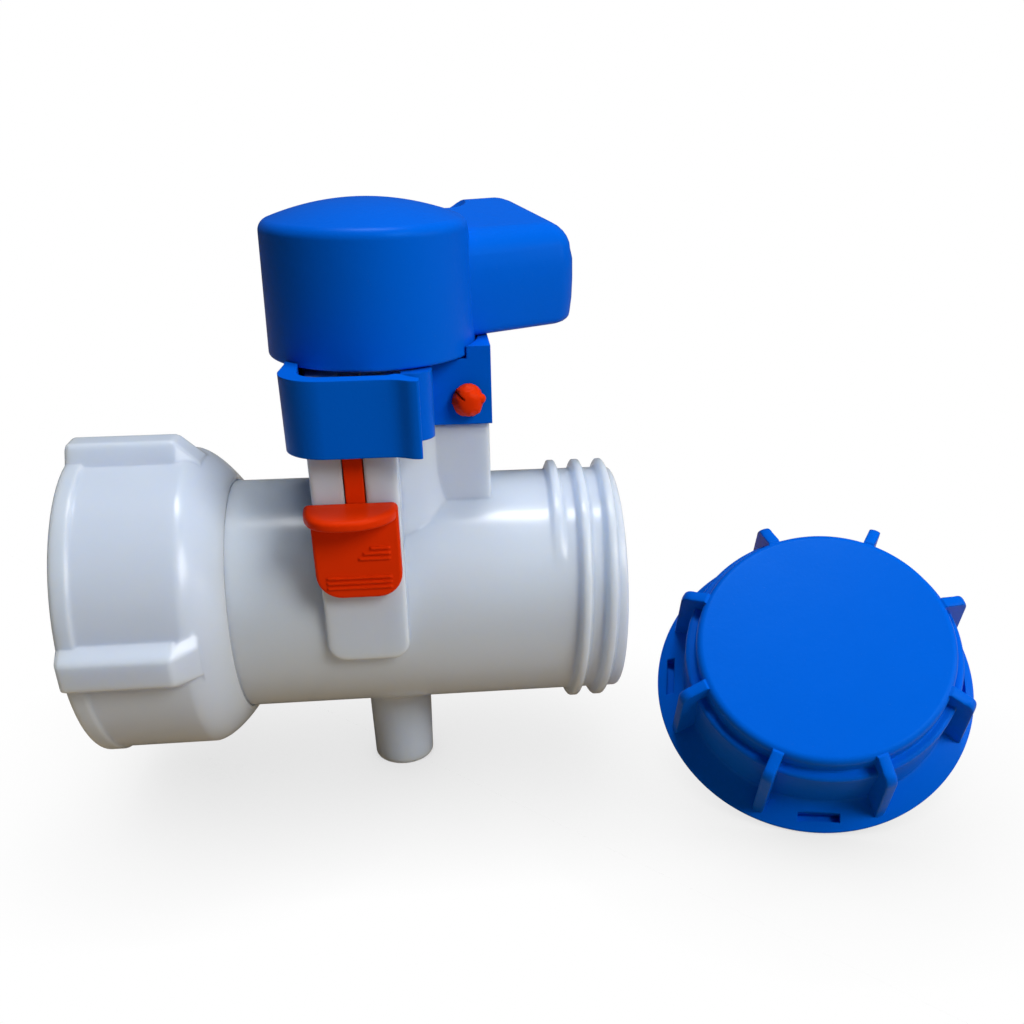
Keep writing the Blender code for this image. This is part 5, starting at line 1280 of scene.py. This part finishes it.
def cap_slot(index, margin, bottom, top):
    """A short slot through the flange, or with a margin the closed pocket behind it."""
    half_width = CAP_SLOT_WIDTH / 2 + margin
    half_length = CAP_SLOT_LENGTH / 2 + margin
    low = (CAP_SLOT_RADIUS - half_width, -half_length, bottom)
    high = (CAP_SLOT_RADIUS + half_width, half_length, top)
    degrees = CAP_LUG_PHASE - 360 / CAP_LUG_COUNT / 2 + 360 * index / CAP_SLOT_COUNT
    return spin(block("cap_slot", low, high), degrees)


def make_cap(finish):
    """The dust cap, as it lies beside the valve."""
    cap = cap_shell()
    join(cap, gather([cap_lug(index) for index in range(CAP_LUG_COUNT)]))
    slots = range(CAP_SLOT_COUNT)
    join(cap, gather([cap_slot(index, CAP_POCKET_WALL, 0, CAP_POCKET_TOP) for index in slots]))
    roof = CAP_FLANGE_RISE + OVERRUN
    cut(cap, gather([cap_slot(index, 0, CAP_POCKET_WALL, roof) for index in slots]))
    move(cap, cap_frame())
    place(cap, "cap_moulding", "cap", "dust_cap", finish)


# Floor, lights and camera

def make_floor():
    """A wide pale floor that glows white to the camera, with the object's soft shadow painted into that
    glow.
    """
    floor = block("floor", (-FLOOR_REACH, -FLOOR_REACH, -FLOOR_THICKNESS), (FLOOR_REACH, FLOOR_REACH, 0))
    made, tree, shader = new_material("pale floor")
    feed(shader, {"Base Color": (*FLOOR_COLOUR, 1.0), "Roughness": 0.9, "Specular IOR Level": 0.0})
    # Painted shadow: ambient occlusion darkens the floor's glow beside the object, and almost to black under
    # it
    around = node(tree, "ShaderNodeAmbientOcclusion", {"Distance": PAINTED_SHADE_REACH}, samples=12)
    free = around.outputs["AO"]
    beside = ranged(tree, free, PAINTED_SHADE_BESIDE_DARK, 1.0)
    under = ranged(tree, free, PAINTED_SHADE_UNDER_DARK, 1.0, end=PAINTED_SHADE_UNDER_RANGE)
    painted_shade = node(tree, "ShaderNodeMath", {0: beside, 1: under}, operation="MULTIPLY").outputs["Value"]
    glow = node(tree, "ShaderNodeEmission", {"Color": painted_shade, "Strength": 1.0})
    seen_and_lit(tree, "Material Output", shader.outputs[0], glow.outputs[0])
    floor.data.materials.append(made)


def make_world():
    """Soft light from all sides, and white behind the object."""
    world = bpy.data.worlds.new("studio")
    bpy.context.scene.world = world
    world.use_nodes = True
    tree = world.node_tree
    soft = tree.nodes["Background"]
    feed(soft, {"Color": (*SKY_COLOUR, 1.0), "Strength": SKY_STRENGTH})
    white = node(tree, "ShaderNodeBackground", {"Color": (1.0, 1.0, 1.0, 1.0), "Strength": 1.0})
    seen_and_lit(tree, "World Output", soft.outputs[0], white.outputs[0])


def area_light(name, position, size, power):
    """A soft light with straight sides that faces the valve."""
    light = bpy.data.lights.new(name, "AREA")
    light.shape = "RECTANGLE"
    light.size, light.size_y = size
    light.energy = power
    lamp = bpy.data.objects.new(name, light)
    bpy.context.scene.collection.objects.link(lamp)
    lamp.location = position
    lamp.rotation_mode = "QUATERNION"
    lamp.rotation_quaternion = (Vector(LAMP_TARGET) - Vector(position)).to_track_quat("-Z", "Y")


def make_lights():
    """A lamp overhead, one high at the right front and a weak one at the right."""
    for name, (position, size, power) in LAMPS.items():
        area_light(name, position, size, power)


def make_camera():
    """The camera, in front of the valve and above it."""
    lens = bpy.data.cameras.new("camera")
    lens.sensor_width = CAMERA_SENSOR
    lens.lens = CAMERA_LENS
    lens.shift_x, lens.shift_y = CAMERA_SHIFT
    lens.clip_start, lens.clip_end = CAMERA_RANGE
    camera = bpy.data.objects.new("camera", lens)
    bpy.context.scene.collection.objects.link(camera)
    camera.location = CAMERA_PLACE
    camera.rotation_euler = [radians(turn) for turn in CAMERA_TURN]
    bpy.context.scene.camera = camera


def dress_inside():
    """Gives the solids that stay as they are their finish."""
    black = rubber("black rubber")
    white = plastic(
        "white moulding", WHITE, CLEAR, roughness=0.38, gloss=0.4, grain=0.25, grain_scale=900.0, edge=0.0004
    )
    soft = ["disc_seal", "stem_o_ring_lower", "stem_o_ring_upper", "neck_wiper_ring"]
    soft += ["inlet_gasket", "cap_gasket"]
    hard = ["valve_disc", "stem", "stem_thrust_washer", "stem_retainer", "foot_bush"]
    hard += ["nut_slip_washer", "nut_retaining_ring"]
    for names, finish in ((soft, black), (hard, white)):
        for name in names:
            paint(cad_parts[name], finish)


def main():
    natural = plastic(
        "natural polyethylene", NATURAL, CLEAR, roughness=0.22, gloss=0.34, grain=0.04, grain_scale=700.0,
        edge=0.0012, mottle=0.006, wear=0.02, subsurface=0.85,
    )
    blue = plastic(
        "blue moulding", BLUE, BLUE_SHEEN, roughness=0.34, gloss=0.10, grain=0.25, grain_scale=1100.0,
        edge=0.0005, mottle=0.05, speckle=0.02,
    )
    orange = plastic(
        "orange moulding", ORANGE, ORANGE_SHEEN, roughness=0.40, gloss=0.10, grain=0.30, grain_scale=1000.0,
        edge=0.0005, mottle=0.05,
    )
    make_body(natural)
    make_nut(natural)
    make_handle(blue)
    make_clip(blue)
    make_cap(blue)
    make_slider(orange)
    make_pin(orange)
    dress_inside()
    make_floor()
    make_world()
    make_lights()
    make_camera()
    bpy.context.scene.view_settings.view_transform = "Standard"


main()
